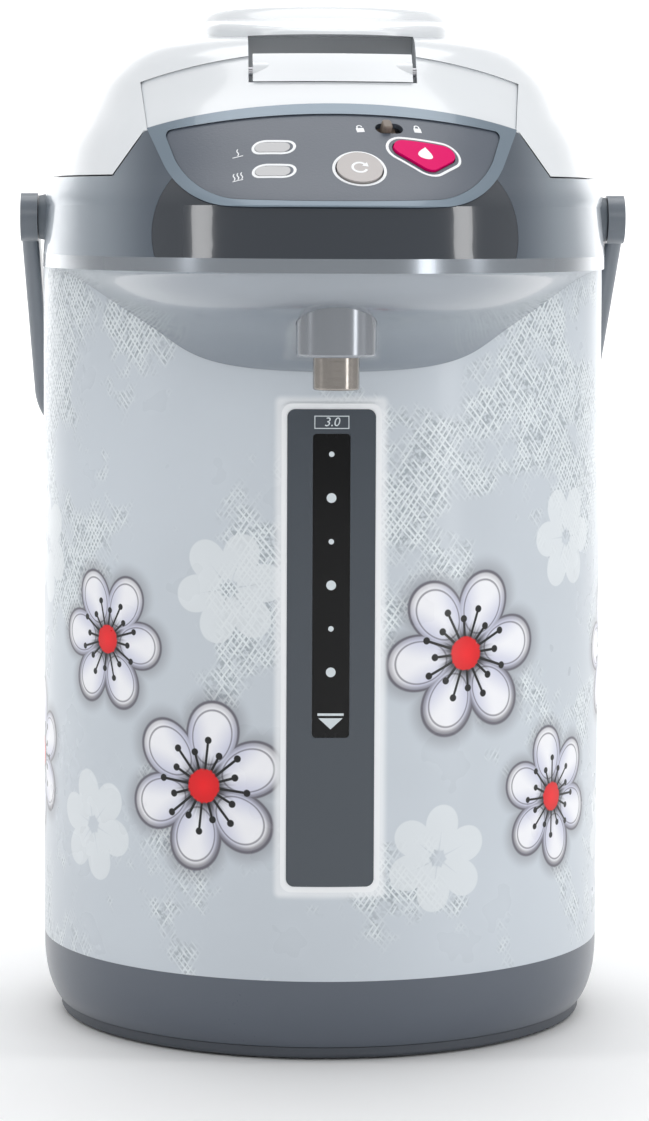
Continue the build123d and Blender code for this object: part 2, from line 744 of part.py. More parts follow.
# ---------------------------------------------------------------- control board
board_drop, board_t = 16.0, 1.6
board_plane = skin_plane(0, deck_z + 6.5).offset(-board_drop)
board_half = 34.0
board_low, board_high = -15.0, 9.5
with BuildPart() as control_board:
    with BuildSketch(board_plane):
        with Locations((0, (board_low + board_high) / 2)):
            RectangleRounded(2 * board_half, board_high - board_low, 2)
            with GridLocations(2 * board_half - 8, board_high - board_low - 8, 2, 2):
                Circle(1.6, mode=Mode.SUBTRACT)
    extrude(amount=-board_t)
    with BuildSketch(board_plane):
        with Locations((-20.1, 3.4), (-20.1, -8)):
            Circle(2.5)
    extrude(amount=5)
    with BuildSketch(board_plane.offset(-board_t)):
        with Locations((-12, -4), (10, -6)):
            Rectangle(14, 10)
    extrude(amount=-2.4)
write(control_board.part, "control_board")

# ---------------------------------------------------------------- buttons, springs, switches
cap_depth = 3.0
stem_r = 1.6
switch_depth = 8.2
spring_r, spring_wire = 2.8, 0.35

with BuildPart() as board_side:
    with BuildSketch(board_plane):
        Rectangle(200, 200)
    extrude(amount=60)

with BuildPart() as button_switches:
    for plane in (pump_plane, reboil_plane):
        with BuildSketch(plane.offset(-switch_depth)):
            Circle(4.2)
        extrude(amount=-12)
    add(board_side.part, mode=Mode.INTERSECT)
    for plane in (pump_plane, reboil_plane):
        with BuildSketch(plane.offset(-switch_depth)):
            Circle(stem_r + 0.4)
        extrude(amount=-2.6, mode=Mode.SUBTRACT)
write(button_switches.part, "button_switches")

for name, plane, outline in (
    ("pump_button", pump_plane, pump_outline(pump_plane)),
    ("reboil_button", reboil_plane, round_outline(reboil_plane, reboil_r)),
):
    with BuildPart() as button:
        add(skin(-button_proud))
        add(skin(cap_depth), mode=Mode.SUBTRACT)
        add(through(outline), mode=Mode.INTERSECT)
        with BuildSketch(plane.offset(-cap_depth + 1)):
            Circle(stem_r)
        extrude(amount=-(switch_depth - cap_depth + 1) - gap)
    write(button.part, name)
    spring_h = switch_depth - cap_depth - 1.6
    spring = coil(plane.offset(-switch_depth + 0.5), spring_r, spring_wire, spring_h)
    write(spring, name.replace("button", "spring"))

with BuildPart() as lock_slider:
    with BuildSketch(lock_plane.offset(-panel_depth - gap)):
        with Locations((lock_rest_u, 0)):
            RectangleRounded(lock_slot[0] - 1.6, lock_slot[1] + 1.6, 1)
    extrude(amount=-1.0)
    with BuildSketch(lock_plane.offset(-panel_depth - gap)):
        with Locations((lock_rest_u, 0)):
            RectangleRounded(*lock_knob, 1.2)
    extrude(amount=panel_depth + gap + 2.2)
    outward = Axis(lock_plane.origin, lock_plane.z_dir)
    fillet(lock_slider.faces().sort_by(outward)[-1].edges(), 0.6)
write(lock_slider.part, "lock_slider")

# ---------------------------------------------------------------- nozzle
nozzle_r, nozzle_bore_r = 7.4, 5.6
nozzle_low_z = boss_low_z - 10.4
boss_edge_r = 1.0
boss_top_z = casing_top_z - 8.0
nozzle_seat_h, stop_t = 9.0, 3.0
pipe_outer, pipe_inner = 4.5, 3.3
spout_z = casing_top_z - 5.5
with BuildPart() as nozzle_boss:
    with BuildSketch(Plane.XY.offset(boss_low_z)):
        with Locations((0, nozzle_y)):
            Circle(boss_r)
    extrude(amount=boss_top_z - boss_low_z)
    fillet(nozzle_boss.faces().sort_by(Axis.Z)[0].edges(), boss_edge_r)
    with BuildSketch(Plane.XY.offset(boss_top_z)):
        with Locations((0, nozzle_y)):
            Circle(boss_r - 3)
    extrude(amount=1.5)
    for low, high, radius in (
        (boss_low_z, boss_low_z + nozzle_seat_h, nozzle_r + fit),
        (boss_low_z + nozzle_seat_h, boss_low_z + nozzle_seat_h + stop_t, pipe_inner),
        (boss_low_z + nozzle_seat_h + stop_t, boss_top_z + 5, nozzle_r + fit),
    ):
        add(column(radius, low, high, y=nozzle_y), mode=Mode.SUBTRACT)
    add(block(-pipe_outer - gap, pipe_outer + gap, nozzle_y, nozzle_y + boss_r + 1,
              spout_z - pipe_outer - gap, boss_top_z + 5), mode=Mode.SUBTRACT)
write(nozzle_boss.part, "nozzle_boss")

with BuildPart() as nozzle_tube:
    with BuildSketch(Plane.XY.offset(nozzle_low_z)):
        with Locations((0, nozzle_y)):
            Circle(nozzle_r)
            Circle(nozzle_bore_r, mode=Mode.SUBTRACT)
    extrude(amount=boss_low_z + nozzle_seat_h - nozzle_low_z)
    fillet(nozzle_tube.faces().sort_by(Axis.Z)[0].edges(), 0.6)
write(nozzle_tube.part, "nozzle_tube")

# ---------------------------------------------------------------- inner pot and mouth ring
rim_z = casing_top_z + flange_h
rim_t = 1.0
rim_r = mouth_r - 0.5
pump_y = -36.0
suction_r = 4.5
with BuildPart() as pot_bore:
    with BuildSketch(Plane.XY.offset(pot_floor_z + pot_wall)):
        Circle(pot_r - pot_wall)
    extrude(amount=rim_z + rim_t - pot_floor_z)
    fillet(pot_bore.faces().sort_by(Axis.Z)[0].edges(), 8)

with BuildPart() as inner_pot:
    with BuildSketch(Plane.XY.offset(pot_floor_z)):
        Circle(pot_r)
    extrude(amount=rim_z - pot_floor_z)
    fillet(inner_pot.faces().sort_by(Axis.Z)[0].edges(), 9)
    with BuildSketch(Plane.XY.offset(rim_z)):
        Circle(rim_r)
    extrude(amount=rim_t)
    add(pot_bore.part, mode=Mode.SUBTRACT)
    add(column(suction_r, pot_floor_z - 5, pot_floor_z + 5, y=pump_y), mode=Mode.SUBTRACT)
write(inner_pot.part, "inner_pot")

throat_low_r, throat_top_r = pot_r - 1.2, pot_r + 3.2
ring_low_z = rim_z + rim_t
with BuildPart() as mouth_ring:
    with BuildSketch(Plane.XZ):
        with BuildLine():
            Polyline(
                (mouth_r - fit, ring_low_z),
                (mouth_r - fit, deck_z),
                (throat_top_r, deck_z),
                (throat_low_r, ring_low_z + 1.5),
                (throat_low_r, ring_low_z),
                (throat_low_r + 2.2, ring_low_z),
                (throat_low_r + 2.2, ring_low_z + 1.5),
                (throat_top_r + 0.6, deck_z - 5),
                (mouth_r - fit - 2, deck_z - 5),
                (mouth_r - fit - 2, ring_low_z),
                close=True,
            )
        make_face()
    revolve(axis=Axis.Z)
write(mouth_ring.part, "mouth_ring")

with BuildPart() as strainer:
    with BuildSketch(Plane.XY.offset(pot_floor_z + pot_wall)):
        with Locations((0, pump_y)):
            Circle(9)
    extrude(amount=3.5)
    fillet(strainer.faces().sort_by(Axis.Z)[-1].edges(), 2.5)
    with BuildSketch(Plane.XY.offset(pot_floor_z + pot_wall)):
        with Locations((0, pump_y)):
            Circle(7.5)
    extrude(amount=2.2, mode=Mode.SUBTRACT)
    with BuildSketch(Plane.XY.offset(pot_floor_z + pot_wall + 2)):
        with Locations((0, pump_y)):
            with PolarLocations(4, 6):
                Circle(1.0)
    extrude(amount=4, mode=Mode.SUBTRACT)
write(strainer.part, "strainer")

# ---------------------------------------------------------------- heaters and thermostat
plate_t = 2.0
with BuildPart() as element:
    with BuildSketch(Plane.XZ):
        with Locations((53, pot_floor_z - plate_t - 3)):
            Circle(3.6)
    revolve(axis=Axis.Z, revolution_arc=320)

with BuildPart() as base_heater:
    with BuildSketch(Plane.XY.offset(pot_floor_z - plate_t - fit)):
        Circle(64)
        with Locations((0, pump_y)):
            Circle(9, mode=Mode.SUBTRACT)
    extrude(amount=plate_t)
    add(element.part.rotate(Axis.Z, -70))
write(base_heater.part, "base_heater")

with BuildPart() as thermostat:
    with BuildSketch(Plane.XY.offset(pot_floor_z - plate_t - fit)):
        Circle(9)
    extrude(amount=-8)
    with BuildSketch(Plane.XY.offset(pot_floor_z - plate_t - fit - 8)):
        with Locations((-5, 0), (5, 0)):
            Rectangle(4.8, 0.8)
    extrude(amount=-6)
write(thermostat.part, "thermostat")

band_low_z, band_h, band_t = pot_floor_z + 16, 34.0, 1.6
with BuildPart() as band_heater:
    with BuildSketch(Plane.XY.offset(band_low_z)):
        Circle(pot_r + fit + band_t)
        Circle(pot_r + fit, mode=Mode.SUBTRACT)
        with Locations((0, pot_r)):
            Rectangle(7, 12, mode=Mode.SUBTRACT)
    extrude(amount=band_h)
    for side in (-1, 1):
        add(block(side * 4.5 - 1, side * 4.5 + 1, pot_r + 1, pot_r + 9,
                  band_low_z + 6, band_low_z + band_h - 6))
    with BuildSketch(Plane.YZ.offset(-7)):
        with Locations((pot_r + 6, band_low_z + 12), (pot_r + 6, band_low_z + band_h - 12)):
            Circle(1.5)
    extrude(amount=14)
write(band_heater.part, "band_heater")

# ---------------------------------------------------------------- pump
motor_r, motor_h = 12.0, 26.0
volute_r, volute_h = 20.0, 20.0
volute_low_z = cover_top_z + motor_h
volute_top_z = volute_low_z + volute_h
chamber_r = 16.0
chamber_low_z, chamber_top_z = volute_low_z + 3, volute_top_z - 4
outlet_z = (chamber_low_z + chamber_top_z) / 2
tube_y = -(pot_r + 7.6)
shaft_r = 1.5

with BuildPart() as pump_motor:
    with BuildSketch(Plane.XY.offset(cover_top_z)):
        with Locations((0, pump_y)):
            Circle(motor_r)
    extrude(amount=motor_h)
    chamfer(pump_motor.faces().sort_by(Axis.Z)[0].edges(), 1.0)
    with BuildSketch(Plane.XY.offset(cover_top_z)):
        with Locations((0, pump_y)):
            Circle(shaft_r + running)
    extrude(amount=motor_h, mode=Mode.SUBTRACT)
write(pump_motor.part, "pump_motor")

with BuildPart() as pump_housing:
    with BuildSketch(Plane.XY.offset(volute_low_z)):
        with Locations((0, pump_y)):
            Circle(volute_r)
    extrude(amount=volute_h)
    fillet(pump_housing.faces().sort_by(Axis.Z)[-1].edges(), 2)
    with BuildSketch(Plane.XZ.offset(-pump_y)):
        with Locations((0, outlet_z)):
            Circle(pipe_outer + 1.6)
    extrude(amount=volute_r + 9)
    with BuildSketch(Plane.XY.offset(chamber_low_z)):
        with Locations((0, pump_y)):
            Circle(chamber_r)
    extrude(amount=chamber_top_z - chamber_low_z, mode=Mode.SUBTRACT)
    with BuildSketch(Plane.XY.offset(volute_low_z)):
        with Locations((0, pump_y)):
            Circle(shaft_r + running)
    extrude(amount=volute_h / 2, mode=Mode.SUBTRACT)
    with BuildSketch(Plane.XY.offset(chamber_top_z)):
        with Locations((0, pump_y)):
            Circle(6 + fit)
    extrude(amount=volute_h, mode=Mode.SUBTRACT)
    with BuildSketch(Plane.XZ.offset(-pump_y + chamber_r - 3)):
        with Locations((0, outlet_z)):
            Circle(pipe_outer + fit)
    extrude(amount=30, mode=Mode.SUBTRACT)
write(pump_housing.part, "pump_housing")

with BuildPart() as impeller:
    with BuildSketch(Plane.XY.offset(chamber_low_z + 0.8)):
        with Locations((0, pump_y)):
            Circle(chamber_r - 2)
    extrude(amount=1.6)
    with BuildSketch(Plane.XY.offset(chamber_low_z + 2.4)):
        with Locations((0, pump_y)):
            with PolarLocations(8, 6):
                Rectangle(9, 1.4)
            Circle(3.2)
    extrude(amount=7)
    with BuildSketch(Plane.XY.offset(cover_top_z + 3)):
        with Locations((0, pump_y)):
            Circle(shaft_r)
    extrude(amount=chamber_low_z - cover_top_z - 2)
write(impeller.part, "impeller")

suction = column(6, chamber_top_z + 0.5, pot_floor_z, y=pump_y)
with BuildPart() as suction_pipe:
    add(suction)
    add(column(suction_r, chamber_top_z, pot_floor_z, y=pump_y), mode=Mode.SUBTRACT)
write(suction_pipe.part, "suction_pipe")

gauge_tube_low_z, gauge_tube_high_z = 66.0, casing_top_z - 26.5
write(tube(
    [(0, pump_y - chamber_r + 2, outlet_z), (0, tube_y, outlet_z), (0, tube_y, gauge_tube_low_z)],
    9, pipe_outer, pipe_inner), "delivery_pipe")

with BuildPart() as level_tube:
    add(column(pipe_outer - 0.5, gauge_tube_low_z, gauge_tube_high_z, y=tube_y))
    add(column(pipe_inner, gauge_tube_low_z, gauge_tube_high_z, y=tube_y), mode=Mode.SUBTRACT)
write(level_tube.part, "level_tube")

write(tube(
    [(0, tube_y, gauge_tube_high_z), (0, tube_y, spout_z), (0, nozzle_y, spout_z + 2),
     (0, nozzle_y, boss_low_z + nozzle_seat_h + stop_t)],
    6.5, pipe_outer - 0.2, pipe_inner), "spout_pipe")

# ---------------------------------------------------------------- power board
with BuildPart() as power_board:
    with BuildSketch(Plane.XY.offset(cover_top_z + 4)):
        with Locations((0, 40)):
            RectangleRounded(90, 44, 3)
    extrude(amount=1.6)
    with BuildSketch(Plane.XY.offset(cover_top_z)):
        with Locations((0, 40)):
            with GridLocations(78, 32, 2, 2):
                Circle(3)
    extrude(amount=4)
    with BuildSketch(Plane.XY.offset(cover_top_z + 5.6)):
        with Locations((-24, 40)):
            Rectangle(22, 26)
    extrude(amount=18)
    with BuildSketch(Plane.XY.offset(cover_top_z + 5.6)):
        with Locations((12, 34), (30, 34)):
            Circle(6)
    extrude(amount=14)
write(power_board.part, "power_board")

# ---------------------------------------------------------------- lid
lid_low_z = deck_z + lid_gap
pocket_half = 27.4
pocket_low_z, pocket_high_z = seam_z + 56.4, seam_z + 72.6
pocket_back_y = -(hood_reach - 96.0)
pocket_wall = 2.2
hump_y, hump_half, hump_len = -17.0, 44.0, 67.0
hump_low_z, hump_top_z = seam_z + 69.0, seam_z + 83.0
hump_dome_r = 250.0
hump_edge_r = 2.5
apron_low_half, apron_top_half = 59.5, 63.0
apron_side_z, apron_mid_z = deck_z + 31.4, deck_z + 40.0
apron_depth = 1.5
apron_sunk = 0.7
vent_y, vent_r = 20.0, 13.0


with BuildPart() as grip:
    with BuildSketch(Plane.XY.offset(hump_low_z)):
        with Locations((0, hump_y)):
            Ellipse(hump_half, hump_len)
    extrude(amount=20)
    with Locations((0, hump_y, hump_top_z - hump_dome_r)):
        Sphere(hump_dome_r, mode=Mode.INTERSECT)
    fillet(grip.faces().sort_by(Axis.Z)[-1].edges(), hump_edge_r)


def apron_face(grow=0.0):
    """The lid's front panel: arched top, leaning sides, with the latch at its middle."""
    with BuildSketch(Plane.XZ) as outline:
        with BuildLine():
            left = Line((-apron_low_half - grow, deck_z + 10), (-apron_top_half - grow, apron_side_z))
            brow = ThreePointArc(left @ 1, (0, apron_mid_z + 1 + grow),
                                 (apron_top_half + grow, apron_side_z))
            right = Line(brow @ 1, (apron_low_half + grow, deck_z + 10))
            Line(right @ 1, left @ 0)
        make_face()
    return outline.sketch


lid_space = tower_zone(lid_gap)
with BuildPart() as lid_solid:
    add(outer_form)
    add(slab(seam_z - 5, lid_low_z), mode=Mode.SUBTRACT)
    add(lid_space, mode=Mode.SUBTRACT)
    add(grip.part)

with BuildPart() as lid_cavity:
    add(skin(lid_wall, drop=lid_wall))
    add(slab(seam_z - 20, deck_z - 10), mode=Mode.SUBTRACT)
    add(tower_zone(lid_gap + lid_wall), mode=Mode.SUBTRACT)

pocket = block(-pocket_half, pocket_half, -hood_reach, pocket_back_y, pocket_low_z, pocket_high_z)
with BuildPart() as pocket_liner:
    add(lid_solid.part)
    add(block(-pocket_half - pocket_wall, pocket_half + pocket_wall, -hood_reach,
              pocket_back_y + pocket_wall, pocket_low_z - pocket_wall,
              pocket_high_z + pocket_wall), mode=Mode.INTERSECT)

with BuildPart() as apron_recess:
    add(front_prism(apron_face()))
    add(skin(apron_depth + apron_sunk), mode=Mode.SUBTRACT)

with BuildPart() as lid_cover:
    add(lid_solid.part)
    add(lid_cavity.part, mode=Mode.SUBTRACT)
    add(pocket_liner.part)
    add(pocket, mode=Mode.SUBTRACT)
    add(apron_recess.part, mode=Mode.SUBTRACT)
    add(block(-hook_half - 1, hook_half + 1, latch_y - 9, latch_y + 4,
              pocket_low_z - 6, pocket_low_z + 1), mode=Mode.SUBTRACT)
    add(column(vent_r + fit, deck_z + 30, deck_z + 70, y=vent_y), mode=Mode.SUBTRACT)
    with BuildSketch(Plane.YZ.offset(-barrel_half)):
        with Locations((hinge_y, hinge_z)):
            Circle(knuckle_r)
        with BuildLine():
            Polyline(
                (hinge_y, hinge_z + knuckle_r),
                (body_r - 8, hinge_z + knuckle_r),
                (body_r - 6, lid_low_z + 0.5),
                (hinge_y - 2.5, lid_low_z + 0.5),
                (hinge_y, hinge_z),
                close=True,
            )
        make_face()
    extrude(amount=2 * barrel_half)
    with BuildSketch(Plane.YZ.offset(-barrel_half)):
        with Locations((hinge_y, hinge_z)):
            Circle(hinge_pin_r + running)
    extrude(amount=2 * barrel_half, mode=Mode.SUBTRACT)
write(lid_cover.part, "lid_cover")

with BuildPart() as lid_apron:
    add(skin(apron_sunk))
    add(skin(apron_depth + apron_sunk), mode=Mode.SUBTRACT)
    add(front_prism(apron_face(-fit)), mode=Mode.INTERSECT)
    add(lid_space, mode=Mode.SUBTRACT)
    add(slab(seam_z - 5, lid_low_z), mode=Mode.SUBTRACT)
    add(block(-pocket_half, pocket_half, -hood_reach, 0, pocket_low_z, pocket_high_z + 20),
        mode=Mode.SUBTRACT)
write(lid_apron.part, "lid_apron")

with BuildPart() as hinge_pin:
    with BuildSketch(Plane.YZ.offset(-ear_half)):
        with Locations((hinge_y, hinge_z)):
            Circle(hinge_pin_r)
    extrude(amount=2 * ear_half)
write(hinge_pin.part, "hinge_pin")

# ---------------------------------------------------------------- lid underside
plug_top_r, plug_low_r = pot_r - 2.0, pot_r - 5.5
plug_low_z = ring_low_z + 5.5
base_plate_t = 2.4
plug_wall = 2.4
steam_bore_r = 7.0
vent_t = 5.0
with BuildPart() as lid_base:
    add(skin(lid_wall + fit, drop=lid_wall))
    add(slab(seam_z - 20, lid_low_z), mode=Mode.SUBTRACT)
    add(slab(lid_low_z + base_plate_t, deck_z + 100), mode=Mode.SUBTRACT)
    add(tower_zone(lid_gap + lid_wall + fit), mode=Mode.SUBTRACT)
    add(block(-barrel_half - 1, barrel_half + 1, body_r - 9, body_r + 9, deck_z, deck_z + 9),
        mode=Mode.SUBTRACT)
    add(block(-hook_half - 2, hook_half + 2, hook_front_y - 5.5, hook_back_y + 1, deck_z,
              deck_z + 9), mode=Mode.SUBTRACT)
    add(column(plug_top_r - 1, deck_z, deck_z + 9), mode=Mode.SUBTRACT)
    with BuildSketch(Plane.XZ):
        with BuildLine():
            Polyline(
                (0, plug_low_z),
                (plug_low_r, plug_low_z),
                (plug_top_r, lid_low_z),
                (plug_top_r, lid_low_z + base_plate_t),
                (plug_top_r - plug_wall, lid_low_z + base_plate_t),
                (plug_low_r - plug_wall, plug_low_z + plug_wall),
                (0, plug_low_z + plug_wall),
                close=True,
            )
        make_face()
    revolve(axis=Axis.Z)
    add(column(steam_bore_r, plug_low_z - 1, deck_z + 9, y=vent_y), mode=Mode.SUBTRACT)
write(lid_base.part, "lid_base")

seal_r = pot_r - 1.0
with BuildPart() as lid_gasket:
    with BuildSketch(Plane.XZ):
        with BuildLine():
            Polyline(
                (plug_low_r - 3, plug_low_z - fit),
                (plug_low_r - 3, plug_low_z - 1.6),
                (plug_low_r, plug_low_z - 1.6),
                (seal_r, plug_low_z + 1.2),
                (seal_r, plug_low_z + 2.2),
                (plug_low_r + 1.4, plug_low_z + 1.0),
                (plug_low_r + 0.4, plug_low_z - fit),
                close=True,
            )
        make_face()
    revolve(axis=Axis.Z)
write(lid_gasket.part, "lid_gasket")

with BuildPart() as inner_lid:
    with BuildSketch(Plane.XY.offset(plug_low_z - 1.2)):
        Circle(plug_low_r - 3 - fit)
        with Locations((0, vent_y)):
            with PolarLocations(steam_bore_r - 2.5, 6):
                Circle(1.5, mode=Mode.SUBTRACT)
    extrude(amount=1.2)
    chamfer(inner_lid.faces().sort_by(Axis.Z)[0].edges().sort_by(SortBy.LENGTH)[-1], 0.6)
write(inner_lid.part, "inner_lid")

vent_top_z = hump_top_z
with BuildPart() as steam_tube:
    add(column(steam_bore_r + 1.6, plug_low_z + plug_wall, vent_top_z - vent_t - gap, y=vent_y))
    add(column(steam_bore_r, plug_low_z, vent_top_z, y=vent_y), mode=Mode.SUBTRACT)
write(steam_tube.part, "steam_tube")

with BuildPart() as vent_cap:
    add(column(vent_r, vent_top_z - vent_t, vent_top_z + 1, y=vent_y))
    add(grip.part, mode=Mode.INTERSECT)
    with BuildSketch(Plane.XY.offset(vent_top_z - 10)):
        with Locations((0, vent_y)):
            with GridLocations(1, 4.2, 1, 4):
                SlotOverall(15, 1.8)
    extrude(amount=20, mode=Mode.SUBTRACT)
write(vent_cap.part, "vent_cap")

# ---------------------------------------------------------------- lid latch
lever_half = 26.0
lever_low_z, lever_high_z = pocket_low_z + gap, seam_z + 66.0
lever_t = 3.0
shelf_t = 2.4
latch_pin_r, latch_barrel_r = 1.5, 3.2
hook_low_z = deck_z - 9.0
with BuildPart() as lever_stiffeners:
    add(block(-lever_half, lever_half, -hood_reach, latch_y + 12, lever_high_z - shelf_t,
              lever_high_z))
    for side in (-1, 1):
        add(block(side * 20 - 1.2, side * 20 + 1.2, latch_y - 12, latch_y, latch_z - 1,
                  lever_high_z - 1))
    add(skin(lever_t / 2), mode=Mode.INTERSECT)

with BuildPart() as lid_latch:
    add(outer_form)
    add(skin(lever_t), mode=Mode.SUBTRACT)
    add(block(-lever_half, lever_half, -hood_reach, 0, lever_low_z, lever_high_z),
        mode=Mode.INTERSECT)
    add(lever_stiffeners.part)
    with BuildSketch(Plane.YZ.offset(-lever_half)):
        with Locations((latch_y, latch_z)):
            Circle(latch_barrel_r)
    extrude(amount=2 * lever_half)
    add(block(-hook_half, hook_half, hook_front_y, hook_back_y, hook_low_z, latch_z))
    add(block(-hook_half, hook_half, hook_back_y - 1, hole_back_y - gap, hook_low_z,
              hook_low_z + 3))
    with BuildSketch(Plane.YZ.offset(-lever_half)):
        with Locations((latch_y, latch_z)):
            Circle(latch_pin_r + running)
    extrude(amount=2 * lever_half, mode=Mode.SUBTRACT)
write(lid_latch.part, "lid_latch")

with BuildPart() as latch_pin:
    with BuildSketch(Plane.YZ.offset(-pocket_half)):
        with Locations((latch_y, latch_z)):
            Circle(latch_pin_r)
    extrude(amount=2 * pocket_half)
write(latch_pin.part, "latch_pin")

latch_spring_h = lever_high_z - shelf_t - pocket_low_z - 1.0
write(coil(Plane(origin=(0, latch_y + 9, pocket_low_z + 0.5)), 2.6, 0.35, latch_spring_h),
      "latch_spring")
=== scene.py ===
"""Electric thermo pot: finishes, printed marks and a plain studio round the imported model."""

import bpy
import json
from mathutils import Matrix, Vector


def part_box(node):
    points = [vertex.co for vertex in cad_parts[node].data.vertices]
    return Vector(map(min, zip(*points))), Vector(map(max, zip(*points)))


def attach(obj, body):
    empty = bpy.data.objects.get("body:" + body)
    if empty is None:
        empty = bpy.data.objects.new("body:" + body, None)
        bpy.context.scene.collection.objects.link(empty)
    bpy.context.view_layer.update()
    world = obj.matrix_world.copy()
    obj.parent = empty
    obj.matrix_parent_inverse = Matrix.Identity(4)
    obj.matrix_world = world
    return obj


bl_info = {
    "name": "Thermo Pot Dresser",
    "version": (1, 0, 0),
    "blender": (4, 5, 0),
    "location": "3D View > Sidebar > Thermo Pot",
    "description": "Gives a thermo pot its finishes, printed marks and studio",
    "category": "Object",
}

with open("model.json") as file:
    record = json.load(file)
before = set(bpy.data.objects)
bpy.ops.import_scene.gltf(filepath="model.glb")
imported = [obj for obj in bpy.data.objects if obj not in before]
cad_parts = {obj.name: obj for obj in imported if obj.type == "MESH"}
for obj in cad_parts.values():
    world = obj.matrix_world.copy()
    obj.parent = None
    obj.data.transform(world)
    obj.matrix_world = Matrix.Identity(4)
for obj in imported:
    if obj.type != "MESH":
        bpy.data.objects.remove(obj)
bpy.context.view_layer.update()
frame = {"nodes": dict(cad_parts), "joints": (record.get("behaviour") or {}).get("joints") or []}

import json
from math import ceil, cos, pi, radians, sin, tau

import bmesh
import bpy
from bpy.props import FloatProperty, FloatVectorProperty, IntProperty, PointerProperty
from mathutils import Matrix, Vector
from mathutils.bvhtree import BVHTree
from mathutils.geometry import convex_hull_2d

MM = 0.001
NODES = frame["nodes"]


# ---------------------------------------------------------------- sizes that the frame gives
def node_box(node):
    """A node's lowest and highest corner, as vectors in metres."""
    low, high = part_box(node)
    return Vector(low), Vector(high)


def joint_axis(name):
    """The direction of a joint's axis."""
    for joint in frame["joints"]:
        if joint["name"] == name:
            return Vector(joint["axis"])
    raise ValueError(f"no joint named {name}")


CASING_R = node_box("outer_casing")[1].x
FASCIA_HALF = node_box("front_fascia")[1].x


def tint(red, green, blue):
    """A colour given in the usual 0 to 255 steps, as the linear values that shaders use."""
    return tuple(
        v / 12.92 if v <= 0.04045 else ((v + 0.055) / 1.055) ** 2.4
        for v in (red / 255, green / 255, blue / 255)
    )


def scaled(colour, factor):
    """A colour made darker or lighter by a factor, up to white."""
    return tuple(min(1.0, factor * v) for v in colour)


def colour_setting(name, description, red, green, blue):
    """A colour property with its default given in 0 to 255 steps."""
    return FloatVectorProperty(name=name, description=description, subtype="COLOR", size=3,
                               min=0.0, max=1.0, default=tint(red, green, blue))


# ---------------------------------------------------------------- settings
class ThermoPotColours(bpy.types.PropertyGroup):
    """The colours of the pot's pieces."""

    lid: colour_setting("Lid", "Glossy white of the lid and its lever", 230, 233, 236)
    shoulder: colour_setting("Shoulder", "Silver of the shoulder housing", 150, 160, 170)
    slate: colour_setting("Shoulder's front", "Slate that the shoulder fades to", 92, 102, 114)
    # The shoulder's front tone is painted shade: a painted dark reflection that the silver fades
    # to.
    hood: colour_setting("Hood", "Grey of the collar and the bowl under the hood", 154, 160, 167)
    fascia: colour_setting("Fascia", "Near black of the band below the panel", 44, 50, 58)
    bezel: colour_setting("Bezel", "Blue grey of the panel's frame", 118, 133, 146)
    panel: colour_setting("Panel", "Slate of the control panel", 88, 95, 106)
    pump: colour_setting("Pump button", "Magenta of the pump button", 226, 0, 104)
    reboil: colour_setting("Reboil button", "Warm grey of the reboil button", 178, 172, 170)
    ink: colour_setting("Ink", "White of the printed marks", 246, 248, 250)
    casing: colour_setting("Casing", "Blue grey ground of the printed casing", 198, 205, 212)
    skirt: colour_setting("Skirt", "Dark slate of the base skirt", 86, 93, 104)
    gauge: colour_setting("Gauge", "Slate of the level gauge", 60, 68, 77)
    handle: colour_setting("Handle", "Grey of the bail handle", 112, 119, 127)


class ThermoPotPrint(bpy.types.PropertyGroup):
    """The floral print on the casing."""

    petals: IntProperty(name="Petals", description="Petals of each blossom", default=6, min=4)
    stamens: IntProperty(name="Stamens", description="Stamens of each blossom", default=16, min=4)
    petal_white: colour_setting("Petal", "White of the petals", 244, 244, 248)
    petal_shade: colour_setting("Petal shade", "Lilac shade within a petal", 205, 207, 226)
    outline: colour_setting("Outline", "Grey line round the petals", 104, 102, 112)
    heart: colour_setting("Heart", "Red of a blossom's middle", 222, 6, 18)
    stamen: colour_setting("Stamen", "Black of the stamens", 12, 12, 14)
    ghost: colour_setting("Silhouette", "Pale tone of the plain blossoms", 226, 231, 234)
    stroke: colour_setting("Brush stroke", "Pale tone of the brushed hatching", 232, 238, 240)
    fleck: colour_setting("Fleck", "Grey of the gaps between brush strokes", 142, 152, 160)
    line_width: FloatProperty(name="Outline width", description="Width of a petal's outline",
                              default=0.8 * MM, min=0.0, unit="LENGTH")


class ThermoPotMarks(bpy.types.PropertyGroup):
    """The printed marks on the panel and the gauge."""

    ink_thickness: FloatProperty(name="Ink thickness", description="How far the ink stands up",
                                 default=0.05 * MM, min=0.0, unit="LENGTH")
    ring_width: FloatProperty(name="Ring width", description="Width of the rings round buttons",
                              default=0.9 * MM, min=0.0, unit="LENGTH")
    icon_height: FloatProperty(name="Icon height", description="Height of the small icons",
                               default=3.6 * MM, min=0.0, unit="LENGTH")


